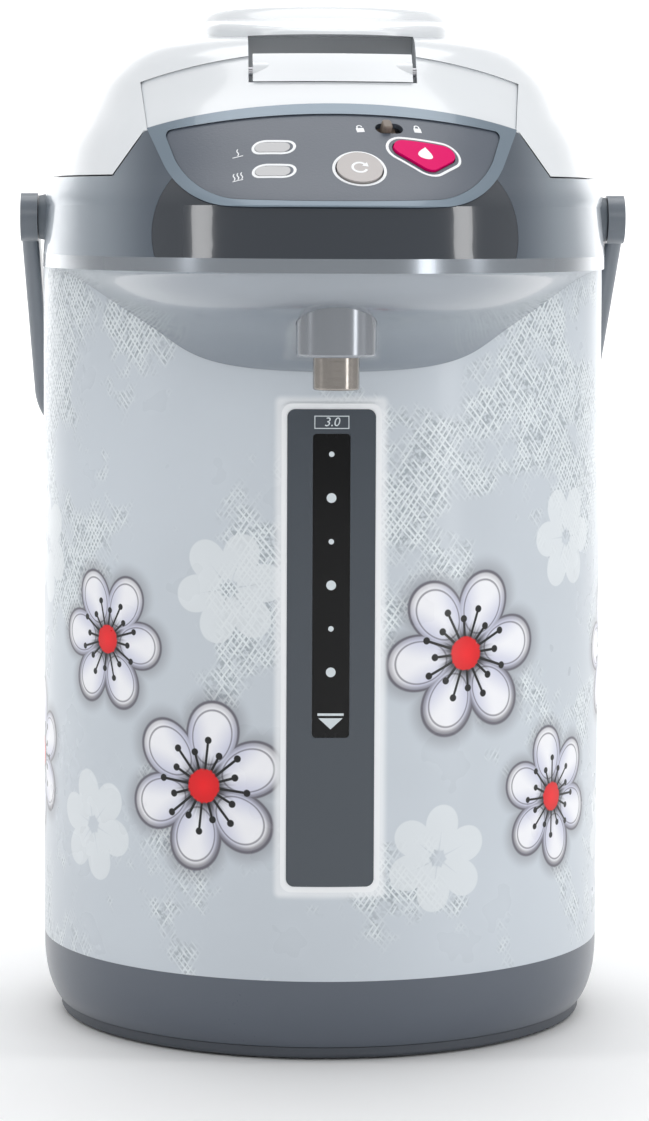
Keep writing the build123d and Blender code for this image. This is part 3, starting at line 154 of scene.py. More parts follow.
class ThermoPotStudio(bpy.types.PropertyGroup):
    """The camera, the lights and the floor."""

    distance: FloatProperty(name="Camera distance", description="From the camera to the axis",
                            default=1.280, min=0.1, unit="LENGTH")
    height: FloatProperty(name="Camera height", description="Height of the camera",
                          default=0.280, unit="LENGTH")
    azimuth: FloatProperty(name="Azimuth", description="Turn of the camera round the pot",
                           default=radians(-1.85), unit="ROTATION")
    pitch: FloatProperty(name="Pitch", description="How far the camera looks down",
                         default=radians(4.71), unit="ROTATION")
    roll: FloatProperty(name="Roll", description="How far the camera leans",
                        default=radians(0.25), unit="ROTATION")
    lens: FloatProperty(name="Lens", description="Focal length in millimetres",
                        default=116.48, min=1.0)
    shift: FloatProperty(name="Shift", description="How far the lens shifts down", default=0.04)
    aside: FloatProperty(name="Aside", description="How far right of the axis the camera aims",
                         default=1.0 * MM, unit="LENGTH")
    key_power: FloatProperty(name="Key light", description="Power of the large front light",
                             default=6.5, min=0.0)
    side_power: FloatProperty(name="Side lights", description="Power of the tall side lights",
                              default=6.0, min=0.0)
    strip_power: FloatProperty(name="Strip light", description="Power of the upright front light",
                               default=2.2, min=0.0)
    top_power: FloatProperty(name="Top light", description="Power of the overhead light",
                             default=27.0, min=0.0)
    paper_power: FloatProperty(name="Backdrop lights", description="Power of the lights behind",
                               default=42.0, min=0.0)
    sky: FloatProperty(name="Surround", description="Brightness of the room", default=0.5,
                       min=0.0)


# ---------------------------------------------------------------- writing finishes
PAINTED_REFLECTION_OUTER = 0.78 * CASING_R  # silver beyond this, to either side of the middle; nearer the middle, painted dark reflection
PAINTED_REFLECTION_INNER = 0.95 * FASCIA_HALF  # the middle tone, a painted dark reflection, within this


class Wire:
    """An output socket of a finish's node tree. Arithmetic on it adds Math nodes."""

    def __init__(self, finish, socket):
        self.finish = finish
        self.socket = socket

    def calc(self, operation, *values):
        return self.finish.node("Math", {"operation": operation}, values)

    def __add__(self, other):
        return self.calc("ADD", self, other)

    __radd__ = __add__

    def __mul__(self, other):
        return self.calc("MULTIPLY", self, other)

    __rmul__ = __mul__

    def __sub__(self, other):
        return self.calc("SUBTRACT", self, other)

    def __rsub__(self, other):
        return self.calc("SUBTRACT", other, self)

    def __truediv__(self, other):
        return self.calc("DIVIDE", self, other)

    def __rtruediv__(self, other):
        return self.calc("DIVIDE", other, self)

    def __mod__(self, other):
        return self.calc("FLOORED_MODULO", self, other)

    def __lt__(self, other):
        return self.calc("LESS_THAN", self, other)

    def __gt__(self, other):
        return self.calc("GREATER_THAN", self, other)

    def __neg__(self):
        return self.calc("MULTIPLY", self, -1.0)

    def __abs__(self):
        return self.calc("ABSOLUTE", self)

    def root(self):
        return self.calc("SQRT", self)

    def sine(self):
        return self.calc("SINE", self)

    def cosine(self):
        return self.calc("COSINE", self)

    def least(self, other):
        return self.calc("MINIMUM", self, other)

    def most(self, other):
        return self.calc("MAXIMUM", self, other)

    def angle_from(self, other):
        """The angle whose tangent is this value over another."""
        return self.calc("ARCTAN2", self, other)

    def step(self, start, end):
        """Rises smoothly from 0 at start to 1 at end; start may be the larger."""
        return self.finish.node("MapRange", {"interpolation_type": "SMOOTHSTEP"},
                                {"Value": self, "From Min": start, "From Max": end})


class Finish:
    """A material for one kind of surface, built on a Principled shader."""

    def __init__(self, name, colour, roughness, **uniform):
        self.material = bpy.data.materials.new(name)
        self.material.use_nodes = True
        self.tree = self.material.node_tree
        self.shader = self.tree.nodes["Principled BSDF"]
        self.set("Base Color", colour)
        self.set("Roughness", roughness)
        for socket, value in uniform.items():
            self.set(socket.replace("_", " "), value)

    def feed(self, socket, value):
        if isinstance(value, Wire):
            self.tree.links.new(value.socket, socket)
        elif isinstance(value, (tuple, Vector)) and len(value) == 3 and socket.type == "RGBA":
            socket.default_value = (*value, 1.0)
        else:
            socket.default_value = value

    def set(self, socket, value):
        """Gives a socket of the Principled shader its value or its map."""
        self.feed(self.shader.inputs[socket], value)

    def node(self, kind, settings=None, values=(), output=0):
        """Adds a node: its settings first, then the values or links of its sockets."""
        made = self.tree.nodes.new("ShaderNode" + kind)
        for key, value in (settings or {}).items():
            setattr(made, key, value)
        pairs = values.items() if isinstance(values, dict) else enumerate(values)
        for place, value in pairs:
            self.feed(made.inputs[place], value)
        return Wire(self, made.outputs[output])

    def blend(self, share, under, over):
        """One colour over another, by a share from 0 to 1."""
        return self.node("Mix", {"data_type": "RGBA"}, {0: share, 6: under, 7: over}, 2)

    def place(self):
        """The surface's position in the pot's own frame."""
        return self.node("TexCoord", output=3)

    def split(self, vector):
        """The three parts of a vector."""
        apart = self.node("SeparateXYZ", values=(vector,))
        outputs = apart.socket.node.outputs
        return [Wire(self, outputs[k]) for k in range(3)]

    def join(self, x, y, z=0.0):
        """A vector from three values."""
        return self.node("CombineXYZ", values=(x, y, z))

    def noise(self, scale, detail=2.0, vector=None, roughness=0.5):
        """Smooth noise from 0 to 1, at a scale in cycles a metre."""
        vector = vector or self.place()
        return self.node("TexNoise", {"noise_dimensions": "3D"},
                         {"Vector": vector, "Scale": scale, "Detail": detail,
                          "Roughness": roughness})

    def bump(self, height, strength, distance):
        """Raises the surface by a height map."""
        self.set("Normal", self.node("Bump", values={
            "Strength": strength, "Distance": distance, "Height": height}))

    def wear(self, *names):
        """Puts this finish on CAD nodes or new pieces."""
        for name in names:
            piece = NODES[name] if isinstance(name, str) else name
            slots = piece.material_slots
            if not slots:
                piece.data.materials.append(self.material)
            for material_slot in piece.material_slots:
                material_slot.material = self.material


def moulded(name, colour, roughness, mottle=0.16, grain=0.0, ripple=0.02, **uniform):
    """Moulded plastic: a faint drift in tone and gloss, the mould's grain, a slow ripple."""
    finish = Finish(name, colour, roughness, **uniform)
    drift = finish.noise(22.0, 3.0)
    speck = finish.noise(1400.0, 2.0)
    finish.set("Base Color", finish.blend((drift - 0.35) * mottle, colour,
                                          scaled(colour, 0.86)))
    finish.set("Roughness", roughness + (drift - 0.5) * 0.08 + (speck - 0.5) * 0.06)
    finish.bump(finish.noise(9.0, 1.0) * ripple + speck * grain, 0.25, 0.4 * MM)
    return finish


def pearl(name, colour, roughness, metallic, middle=None, flake=0.03, **uniform):
    """Silver plastic with fine metal flakes under a clear coat. It may fade to a middle tone,
    which is a painted dark reflection.
    """
    finish = Finish(name, colour, roughness, Metallic=metallic, Coat_Weight=0.6,
                    Coat_Roughness=0.05, **uniform)
    sparkle = finish.noise(2600.0, 1.0)
    drift = finish.noise(14.0, 2.0)
    tone = finish.blend((sparkle - 0.5) * (2.0 * flake) + drift * 0.05, colour,
                        scaled(colour, 1.25))
    # Painted dark reflection: the colour fades to the middle tone towards the middle of the
    # width.
    if middle:
        x, _, _ = finish.split(finish.place())
        tone = finish.blend(abs(x).step(PAINTED_REFLECTION_OUTER, PAINTED_REFLECTION_INNER), tone, middle)
    finish.set("Base Color", tone)
    finish.set("Roughness", roughness + (sparkle - 0.5) * 0.04 + (drift - 0.5) * 0.05)
    finish.bump(finish.noise(7.0, 1.0), 0.15, 0.05 * MM)
    return finish


def steel(name, colour, roughness, around=True, fine=1.0):
    """Spun or drawn steel: fine lines round the axis, or along Z."""
    finish = Finish(name, colour, roughness, Metallic=1.0)
    x, y, z = finish.split(finish.place())
    radius = (x * x + y * y).root()
    turn = y.angle_from(x)
    if around:
        lines = finish.join(turn * 0.35, radius * 900.0 * fine, z * 900.0 * fine)
    else:
        lines = finish.join(x * 1500.0, y * 1500.0, z * 30.0)
    streak = finish.noise(1.0, 3.0, lines)
    finish.set("Base Color", finish.blend(streak * 0.35, colour, scaled(colour, 0.7)))
    finish.set("Roughness", roughness + (streak - 0.5) * 0.22)
    finish.bump(streak, 0.12, 0.05 * MM)
    return finish


def rubber(name, colour):
    """Matt rubber or silicone with a dusty bloom."""
    finish = Finish(name, colour, 0.62)
    bloom = finish.noise(60.0, 4.0)
    finish.set("Base Color", finish.blend(bloom * 0.25, colour,
                                          tuple(min(1.0, v + 0.06) for v in colour)))
    finish.set("Roughness", 0.5 + bloom * 0.25)
    finish.bump(finish.noise(900.0, 3.0), 0.2, 0.1 * MM)
    return finish


# ---------------------------------------------------------------- marks pressed on a surface
REACH = 30 * MM  # rays start this far in front of a surface
SINK = 0.02 * MM  # ink reaches this far into what carries it
GRID = 1.0 * MM  # ink bends at lines this far apart
LOOP_POINTS = 72  # corners of a ring round a button or a lamp
WELD = 0.0005 * MM  # corners nearer than this are one


class Facing:
    """A flat sheet in front of some nodes, on which marks are drawn in metres."""

    def __init__(self, nodes, origin, out, right=(1, 0, 0)):
        verts, faces = [], []
        for name in nodes:
            mesh = NODES[name].data
            start = len(verts)
            verts += [v.co.copy() for v in mesh.vertices]
            faces += [[start + i for i in face.vertices] for face in mesh.polygons]
        self.surface = BVHTree.FromPolygons(verts, faces)
        self.out = Vector(out).normalized()
        side = Vector(right)
        self.right = (side - self.out * side.dot(self.out)).normalized()
        self.up = self.out.cross(self.right)
        self.origin = Vector(origin)

    def press(self, u, v, lift):
        """The surface's point behind a place on the sheet, raised by a lift."""
        start = self.origin + self.right * u + self.up * v + self.out * REACH
        hit, normal, _, _ = self.surface.ray_cast(start, -self.out)
        if hit is None:
            raise ValueError(f"no surface behind {u:.4f}, {v:.4f}")
        if normal.dot(self.out) < 0:
            normal = -normal
        return hit + normal * lift

    def outline_of(self, node):
        """A node's convex outline, seen square on, counter-clockwise on the sheet."""
        flat = [Vector(((v.co - self.origin).dot(self.right), (v.co - self.origin).dot(self.up)))
                for v in NODES[node].data.vertices]
        loop = even_loop([flat[i] for i in convex_hull_2d(flat)], LOOP_POINTS)
        area = sum(a.x * b.y - b.x * a.y for a, b in zip(loop, loop[1:] + loop[:1]))
        return loop if area > 0 else loop[::-1]


def even_loop(points, count):
    """A closed loop through the same outline, with evenly spaced points."""
    pairs = list(zip(points, points[1:] + points[:1]))
    lengths = [(b - a).length for a, b in pairs]
    step = sum(lengths) / count
    made, walked, target = [], 0.0, 0.0
    for (a, b), length in zip(pairs, lengths):
        while target <= walked + length and len(made) < count:
            made.append(a.lerp(b, (target - walked) / max(length, 1e-9)))
            target += step
        walked += length
    return made


def grown(loop, amount):
    """A counter-clockwise convex loop moved outwards."""
    count = len(loop)
    made = []
    for i, point in enumerate(loop):
        along = (loop[(i + 1) % count] - loop[i - 1]).normalized()
        made.append(point + Vector((along.y, -along.x)) * amount)
    return made


class InkPot:
    """Collects flat printed shapes of one colour, then presses them on as thin closed ink."""

    def __init__(self, facing, thickness):
        self.facing = facing
        self.thickness = thickness
        self.mesh = bmesh.new()

    def corners(self, loop):
        return [self.mesh.verts.new((x, y, 0.0)) for x, y in loop]

    def patch(self, loop):
        """A filled shape inside one outline."""
        self.mesh.faces.new(self.corners(loop))

    def ring(self, inner, outer):
        """A closed band between two loops of equal counts."""
        inside, outside = self.corners(inner), self.corners(outer)
        for i in range(len(inside)):
            j = (i + 1) % len(inside)
            self.mesh.faces.new((inside[i], outside[i], outside[j], inside[j]))

    def stroke(self, points, width):
        """An open band along a line, with square ends."""
        points = [Vector(p) for p in points]
        left, right = [], []
        for i, point in enumerate(points):
            along = points[min(i + 1, len(points) - 1)] - points[max(i - 1, 0)]
            side = Vector((-along.y, along.x)).normalized() * width / 2
            left.append(point + side)
            right.append(point - side)
        left, right = self.corners(left), self.corners(right)
        for i in range(len(left) - 1):
            self.mesh.faces.new((left[i], right[i], right[i + 1], left[i + 1]))

    def disc(self, centre, radius, corners=28):
        centre = Vector(centre)
        self.patch([centre + Vector((cos(tau * k / corners), sin(tau * k / corners))) * radius
                    for k in range(corners)])

    def number(self, words, size, centre, shear=0.2):
        """A printed number, from the font that comes with Blender."""
        curve = bpy.data.curves.new("number", "FONT")
        curve.body = words
        curve.size = size
        curve.align_x = "CENTER"
        curve.align_y = "CENTER"
        curve.shear = shear
        curve.resolution_u = 4
        holder = bpy.data.objects.new("number", curve)
        bpy.context.scene.collection.objects.link(holder)
        bpy.context.view_layer.update()
        flat = bpy.data.meshes.new_from_object(holder)
        bpy.data.objects.remove(holder)
        flat.transform(Matrix.Translation((*centre, 0.0)))
        self.mesh.from_mesh(flat)
        bmesh.ops.remove_doubles(self.mesh, verts=self.mesh.verts, dist=WELD)

    def cut(self, axis):
        """Cuts the flat shapes at each grid line across an axis, so that they can bend."""
        places = [v.co[axis] for v in self.mesh.verts]
        normal = Vector((0, 0, 0))
        normal[axis] = 1.0
        for k in range(ceil(min(places) / GRID), ceil(max(places) / GRID)):
            everything = self.mesh.verts[:] + self.mesh.edges[:] + self.mesh.faces[:]
            bmesh.ops.bisect_plane(self.mesh, geom=everything, dist=WELD,
                                   plane_co=normal * k * GRID, plane_no=normal)

    def piece(self, name, finish, body, slot):
        """Makes the object, in its finish, riding on its body."""
        mesh = self.mesh
        bmesh.ops.triangulate(mesh, faces=[f for f in mesh.faces if len(f.verts) > 4])
        self.cut(0)
        self.cut(1)
        bmesh.ops.triangulate(mesh, faces=mesh.faces)
        made = bmesh.ops.extrude_face_region(mesh, geom=mesh.faces[:])
        raised = {v for v in made["geom"] if isinstance(v, bmesh.types.BMVert)}
        for v in mesh.verts:
            v.co = self.facing.press(v.co.x, v.co.y, self.thickness if v in raised else -SINK)
        bmesh.ops.recalc_face_normals(mesh, faces=mesh.faces)
        open_edges = sum(len(edge.link_faces) != 2 for edge in mesh.edges)
        if open_edges:
            raise ValueError(f"{name} has {open_edges} open edges")
        return new_piece(name, mesh, finish, body)


def new_piece(name, mesh, finish, body):
    """An object from a bmesh in the pot's frame, with a finish, on a body."""
    data = bpy.data.meshes.new(name)
    mesh.to_mesh(data)
    mesh.free()
    data.materials.append(finish.material)
    piece = bpy.data.objects.new(name, data)
    bpy.context.scene.collection.objects.link(piece)
    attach(piece, body)
    return piece


# ---------------------------------------------------------------- the printed casing
STROKE_PITCH = 1.6 * MM  # between rows of brush strokes
RISING, FALLING = radians(56), radians(-48)  # lean of the two ways of strokes
GLOW_OUTER, GLOW_INNER = 3.2 * MM, 0.6 * MM  # the painted white glow round the gauge fades between these
BLOSSOM_R = 28 * MM  # a typical blossom's radius

# Shares of a blossom's radius.
PETAL_MIDDLE, PETAL_HALF_LENGTH, PETAL_HALF_WIDTH = 0.57, 0.43, 0.325
HEART_R = 0.2
STEM_FOOT, STEM_TIP, LONG_STEM_MORE = 0.1, 0.40, 0.13

# Blossoms: place round the casing from the front, height, radius, spin. Millimetres, degrees.
BLOSSOMS = (
    (-43, 92, 29, 10),
    (-84, 138, 25, 34),
    (47, 136, 29, 22),
    (88, 84, 25, 50),
    (-146, 92, 27, 5),
    (148, 128, 26, 40),
    (200, 84, 26, 15),
    (-198, 142, 27, 28),
    (256, 134, 27, 50),
    (-256, 88, 26, 12),
)
SILHOUETTES = (
    (-34, 158, 19, 20),
    (-92, 74, 19, 45),
    (37, 68, 18, 8),
    (96, 172, 18, 30),
    (-132, 166, 20, 50),
    (142, 66, 19, 12),
    (-206, 78, 19, 38),
    (204, 160, 19, 26),
    (296, 76, 20, 15),
    (-292, 164, 20, 42),
)


def nearest_blossom(finish, spot, table):
    """Place within the nearest blossom, in its own radii; the third part is its spin."""
    best, chosen = None, None
    for around, height, radius, spin in table:
        centre = (around * MM, height * MM, -radians(spin) * radius * MM)
        moved = finish.node("VectorMath", {"operation": "SUBTRACT"}, (spot, centre))
        local = finish.node("VectorMath", {"operation": "SCALE"},
                            {0: moved, "Scale": 1 / (radius * MM)})
        x, y, _ = finish.split(local)
        reach = (x * x + y * y).root()
        if best is None:
            best, chosen = reach, local
        else:
            nearer = reach < best
            chosen = finish.node("Mix", {"data_type": "VECTOR"},
                                 {0: nearer, 4: chosen, 5: local}, 1)
            best = best.least(reach)
    return chosen, best


def petal_depth(finish, local, reach, petals):
    """Depth in the petal (negative inside), turn, and the place along and across the petal."""
    x, y, spin = finish.split(local)
    turn = y.angle_from(x) + spin
    sector = tau / petals
    fold = turn % sector - sector / 2
    along = reach * fold.cosine()
    across = reach * fold.sine()
    side = across / ((along - 0.55) * 0.10 + PETAL_HALF_WIDTH)
    end = (along - PETAL_MIDDLE) / PETAL_HALF_LENGTH
    depth = ((end * end + side * side).root() - 1.0) * 0.32
    return depth, turn, along, across


def hatch(finish, around, height, lean, seed):
    """Rows of short brush strokes that lean by an angle."""
    along = around * cos(lean) + height * sin(lean)
    across = height * cos(lean) - around * sin(lean)
    sway = finish.noise(1.0, 2.0, finish.join(along * 28.0, across * 70.0, seed)) * 9.0
    row = (across * (tau / STROKE_PITCH) + sway).sine()
    broken = finish.noise(1.0, 1.0, finish.join(along * 95.0, across * 520.0, seed + 7.0))
    return row.step(0.0, 0.8) * broken.step(0.38, 0.54)


def casing_finish(colours, scheme):
    """Coated steel: blue-grey ground, brushed hatching, blossoms all round, and a painted white
    glow round the gauge.
    """
    finish = Finish("printed_casing", colours.casing[:], 0.30, Coat_Weight=0.2,
                    Coat_Roughness=0.12, Specular_IOR_Level=0.35)
    x, y, z = finish.split(finish.place())
    around = x.angle_from(-y) * CASING_R
    spot = finish.join(around, z)

    drift = finish.noise(10.0, 2.0)
    ground = finish.blend(drift.step(0.3, 0.75) * 0.5, colours.casing[:],
                          scaled(colours.casing, 1.14))

    rising = hatch(finish, around, z, RISING, 1.3)
    falling = hatch(finish, around, z, FALLING, 9.1)
    slanted = finish.join(around * 17.0 + z * 9.0, z * 15.0 - around * 8.0, 3.0)
    patch = (finish.noise(1.0, 4.0, slanted, 0.66) + (z - 0.12) * 0.35).step(0.50, 0.60)
    strokes = rising.most(falling) * patch
    speck = finish.noise(1.0, 1.0, finish.join(around * 700.0, z * 700.0, 5.0))
    holes = (1.0 - rising) * (1.0 - falling) * patch * speck.step(0.36, 0.60)
    ground = finish.blend(patch * 0.2, ground, scheme.stroke[:])
    ground = finish.blend(holes * 0.75, ground, scheme.fleck[:])
    ground = finish.blend(strokes * 0.85, ground, scheme.stroke[:])

    local, reach = nearest_blossom(finish, spot, SILHOUETTES)
    depth, _, along, across = petal_depth(finish, local, reach, scheme.petals)
    pale = depth.step(0.012, -0.012)
    vein = (abs(across) + (along - 0.30) * 0.05).step(0.0, 0.02) * 0.6 + 0.4
    throat = reach.step(0.06, 0.20)
    ground = finish.blend(pale * throat * vein * 0.8, ground, scheme.ghost[:])

    local, reach = nearest_blossom(finish, spot, BLOSSOMS)
    depth, turn, along, across = petal_depth(finish, local, reach, scheme.petals)
    width = scheme.line_width / BLOSSOM_R
    ground = finish.blend(depth.step(0.16, -0.02) * 0.42, ground, scheme.outline[:])
    inside = depth.step(0.010, -0.010)
    shade = (abs(across) * 2.6 + (0.72 - along) * 1.1).step(0.1, 1.0)
    petal = finish.blend(shade, scheme.petal_white[:], scheme.petal_shade[:])
    away = (turn + 0.9).cosine() * 0.25 + 0.55
    bevel = depth.step(-3.0 * width, -1.2 * width)
    petal = finish.blend(bevel * away, petal, scheme.outline[:])
    fold_line = abs(depth + 3.0 * width).step(0.5 * width, 0.1 * width) * 0.75
    rim = depth.step(-1.3 * width, -0.6 * width)
    petal = finish.blend(fold_line.most(rim), petal, scheme.outline[:])
    ground = finish.blend(inside, ground, petal)

    sector = tau / scheme.stamens
    angle = turn + 0.13
    offset = angle % sector - sector / 2
    off_line = abs(offset.sine() * reach)
    tip = (angle % (2.0 * sector) < sector) * LONG_STEM_MORE + STEM_TIP
    on_stem = off_line.step(0.020, 0.011) * (reach < tip) * (reach > STEM_FOOT)
    to_bead = reach * offset.cosine() - tip
    bead = (off_line * off_line + to_bead * to_bead).root().step(0.047, 0.037)
    feather = finish.noise(1.0, 2.0, finish.join(turn * 9.0, reach * 3.0, 2.0))
    glow = (reach + (feather - 0.5) * 0.24).step(STEM_TIP, 0.15) * 0.85
    ground = finish.blend(glow * inside, ground, scheme.stamen[:])
    ground = finish.blend(on_stem.most(bead), ground, scheme.stamen[:])
    ragged = reach + (finish.noise(900.0, 2.0) - 0.5) * 0.05
    heart = finish.blend(reach.step(0.0, HEART_R), scaled(scheme.heart, 1.2), scheme.heart[:])
    ground = finish.blend(ragged.step(1.025 * HEART_R, 0.9 * HEART_R), ground, heart)

    # Painted glow: white fading out onto the casing round the gauge trim.
    low, high = node_box("gauge_trim")
    beside = (abs(around) - high.x).most(0.0)
    beyond = (abs(z - (low.z + high.z) / 2) - (high.z - low.z) / 2).most(0.0)
    off_gauge = (beside * beside + beyond * beyond).root()
    ground = finish.blend(off_gauge.step(GLOW_OUTER, GLOW_INNER) * 0.75, ground,
                          colours.ink[:])

    finish.set("Base Color", ground)
    finish.set("Roughness", 0.28 + (finish.noise(30.0, 3.0) - 0.5) * 0.06 + patch * 0.05)
    finish.bump(finish.noise(650.0, 2.0) * 0.05 + strokes * 0.1, 0.15, 0.1 * MM)
    return finish


class THERMOPOT_OT_casing(bpy.types.Operator):
    """Prints the casing with hatching and blossoms"""

    bl_idname = "thermopot.casing"
    bl_label = "Casing"

    def execute(self, context):
        scene = context.scene
        casing_finish(scene.thermopot_colours, scene.thermopot_print).wear("outer_casing")
        return {"FINISHED"}


# ---------------------------------------------------------------- hood and shoulder
class THERMOPOT_OT_hood(bpy.types.Operator):
    """Finishes the shoulder, the hood, its fascia and the nozzle"""

    bl_idname = "thermopot.hood"
    bl_label = "Hood"

    def execute(self, context):
        colours = context.scene.thermopot_colours
        # The shoulder's silver fades to a painted dark reflection in the middle.
        pearl("shoulder_silver", colours.shoulder[:], 0.32, 0.7,
              colours.slate[:]).wear("shoulder_housing")
        pearl("hood_silver", colours.hood[:], 0.20, 0.80).wear("hood_collar")
        moulded("fascia_black", colours.fascia[:], 0.12, ripple=0.05,
                Coat_Weight=0.8, Coat_Roughness=0.03).wear("front_fascia")
        pearl("nozzle_grey", tint(150, 154, 160), 0.2, 0.7).wear("nozzle_boss")
        steel("nozzle_steel", tint(170, 164, 158), 0.2).wear("nozzle_tube")
        return {"FINISHED"}


# ---------------------------------------------------------------- control panel
def arc(centre, radius, start, end, steps=12):
    """Points along an arc, in the angles' order."""
    return [(centre[0] + radius * cos(radians(start + (end - start) * k / steps)),
             centre[1] + radius * sin(radians(start + (end - start) * k / steps)))
            for k in range(steps + 1)]


def drop_icon(ink, size, at):
    """A falling drop."""
    turns = 30
    ink.patch([(at[0] + 0.62 * size * sin(t) * sin(t / 2) ** 1.6,
                at[1] + 0.5 * size * cos(t)) for t in (tau * k / turns for k in range(turns))])


def padlock_icon(ink, size, at, shut):
    """A padlock, shut or open."""
    x, y = at
    half, low, top = 0.34 * size, y - 0.5 * size, y + 0.06 * size
    ink.patch([(x - half, low), (x + half, low), (x + half, top), (x - half, top)])
    bend = 0.21 * size
    lift = 0.14 * size
    reach = arc((x, top + lift), bend, 0, 180)
    left_foot = [(x - bend, top - 0.02 * size)]
    right_foot = [(x + bend, top - 0.02 * size)] if shut else []
    ink.stroke(right_foot + reach + left_foot, 0.11 * size)


def steam_icon(ink, size, at, plumes):
    """Rising steam over a line."""
    x, y = at
    for k in range(plumes):
        middle = x + (k - (plumes - 1) / 2) * 0.36 * size
        ink.stroke([(middle + 0.08 * size * sin(tau * t / 12), y + size * (t / 12 - 0.32))
                    for t in range(13)], 0.10 * size)
    ink.stroke([(x - 0.5 * size, y - 0.46 * size), (x + 0.5 * size, y - 0.46 * size)], 0.1 * size)


def turn_icon(ink, size):
    """An arrow that goes round the sheet's origin."""
    radius, start = 0.38 * size, 50
    ink.stroke(arc((0, 0), radius, start, 340, 26), 0.13 * size)
    tip = Vector((radius * cos(radians(start)), radius * sin(radians(start))))
    back = Vector((sin(radians(start)), -cos(radians(start))))
    side = Vector((back.y, -back.x))
    ink.patch([tip + back * 0.28 * size, tip + side * 0.2 * size, tip - side * 0.2 * size])


class THERMOPOT_OT_panel(bpy.types.Operator):
    """Finishes the control panel and prints its marks"""

    bl_idname = "thermopot.panel"
    bl_label = "Control panel"

    def execute(self, context):
        colours = context.scene.thermopot_colours
        marks = context.scene.thermopot_marks
        moulded("bezel_grey", colours.bezel[:], 0.3, Metallic=0.25,
                Coat_Weight=0.3).wear("panel_bezel")
        moulded("panel_slate", colours.panel[:], 0.36, grain=0.5).wear("control_panel")
        moulded("lamp_grey", tint(176, 176, 178), 0.25, Coat_Weight=0.5).wear(
            "warm_lamp", "boil_lamp")
        moulded("pump_magenta", colours.pump[:], 0.5, Specular_IOR_Level=0.12).wear(
            "pump_button")
        moulded("reboil_grey", colours.reboil[:], 0.34, Coat_Weight=0.3).wear("reboil_button")
        moulded("slider_grey", tint(120, 108, 98), 0.4).wear("lock_slider")
        ink = moulded("white_ink", colours.ink[:], 0.45)

        thick, wide = marks.ink_thickness, marks.ring_width
        icon = marks.icon_height
        lamp_gap = 0.12 * MM
        left_of_lamp, left_of_slider, right_of_slider = -11.2 * MM, -8.6 * MM, 10.4 * MM
        for node, press, inner in (("pump_button", "pump_press", 1.5 * MM),
                                   ("reboil_button", "reboil_press", 0.45 * MM)):
            out = -joint_axis(press)
            low, high = node_box(node)
            panel = Facing(["control_panel"], (low + high) / 2, out)
            outline = panel.outline_of(node)
            pot = InkPot(panel, thick)
            pot.ring(grown(outline, inner), grown(outline, inner + wide))
            pot.piece(f"{node}_ring", ink, "pot", "slider_plastic")

            top = Facing([node], (low + high) / 2, out)
            pot = InkPot(top, thick)
            if node == "pump_button":
                drop_icon(pot, 1.6 * icon, (0.0, 0.4 * MM))
            else:
                turn_icon(pot, 1.7 * icon)
            pot.piece(f"{node}_icon", ink, node, "slider_plastic")

        for node, plumes in (("warm_lamp", 1), ("boil_lamp", 3)):
            low, high = node_box(node)
            out = -joint_axis("reboil_press")
            panel = Facing(["control_panel"], (low + high) / 2, out)
            outline = panel.outline_of(node)
            pot = InkPot(panel, thick)
            pot.ring(grown(outline, lamp_gap), grown(outline, lamp_gap + wide))
            steam_icon(pot, icon * 0.9, (left_of_lamp, 0.0), plumes)
            pot.piece(f"{node}_marks", ink, "pot", "slider_plastic")

        low, high = node_box("lock_slider")
        panel = Facing(["control_panel"], (low + high) / 2, -joint_axis("pump_press"),
                       joint_axis("lock_slide"))
        pot = InkPot(panel, thick)
        padlock_icon(pot, icon, (left_of_slider, 0.0), shut=False)
        padlock_icon(pot, icon, (right_of_slider, 0.0), shut=True)
        pot.piece("lock_marks", ink, "pot", "slider_plastic")
        return {"FINISHED"}


# ---------------------------------------------------------------- level gauge
class THERMOPOT_OT_gauge(bpy.types.Operator):
    """Finishes the level gauge and prints its marks"""

    bl_idname = "thermopot.gauge"
    bl_label = "Level gauge"

    def execute(self, context):
        colours = context.scene.thermopot_colours
        marks = context.scene.thermopot_marks
        moulded("gauge_border", colours.ink[:], 0.3, Coat_Weight=0.3).wear("gauge_trim")
        moulded("gauge_slate", colours.gauge[:], 0.24, Coat_Weight=0.5).wear("gauge_cover")
        window = Finish("gauge_smoke", tint(5, 5, 6), 0.06, Specular_IOR_Level=0.3, Alpha=0.96)
        window.set("Roughness", 0.05 + window.noise(40.0, 3.0) * 0.05)
        window.wear("gauge_window")
        ink = moulded("gauge_ink", tint(214, 222, 226), 0.45)

        low, high = node_box("gauge_window")
        facing = Facing(["gauge_window", "gauge_cover"], (0, high.y, 0), (0, -1, 0))
        pot = InkPot(facing, marks.ink_thickness)
        span = high.z - low.z
        lowest_dot, dot_pitch = low.z + 0.216 * span, 0.1435 * span
        large, small = 1.6 * MM, 0.9 * MM
        for k in range(6):
            pot.disc((0, lowest_dot + dot_pitch * k), small if k % 2 else large)
        bar = low.z + 0.072 * span
        half, thick = 4.3 * MM, 0.8 * MM
        pot.patch([(-half, bar), (half, bar), (half, bar + thick), (-half, bar + thick)])
        corner = 0.93 * half
        pot.patch([(-corner, bar - thick), (0, bar - 5.6 * thick), (corner, bar - thick)])
        pot.piece("gauge_marks", ink, "pot", "gauge_border")

        full = InkPot(facing, marks.ink_thickness)
        centre = Vector((0, high.z + 3.8 * MM))
        half, tall, line = 5.7 * MM, 2.15 * MM, 0.3 * MM
        box = [Vector((x * half, y * tall)) for x, y in ((-1, -1), (1, -1), (1, 1), (-1, 1))]
        inner = [Vector((p.x * (1 - line / half), p.y * (1 - line / tall))) for p in box]
        full.ring([centre + p for p in inner], [centre + p for p in box])
        full.number("3.0", 4.2 * MM, centre)
        full.piece("full_mark", ink, "pot", "gauge_border")
        return {"FINISHED"}


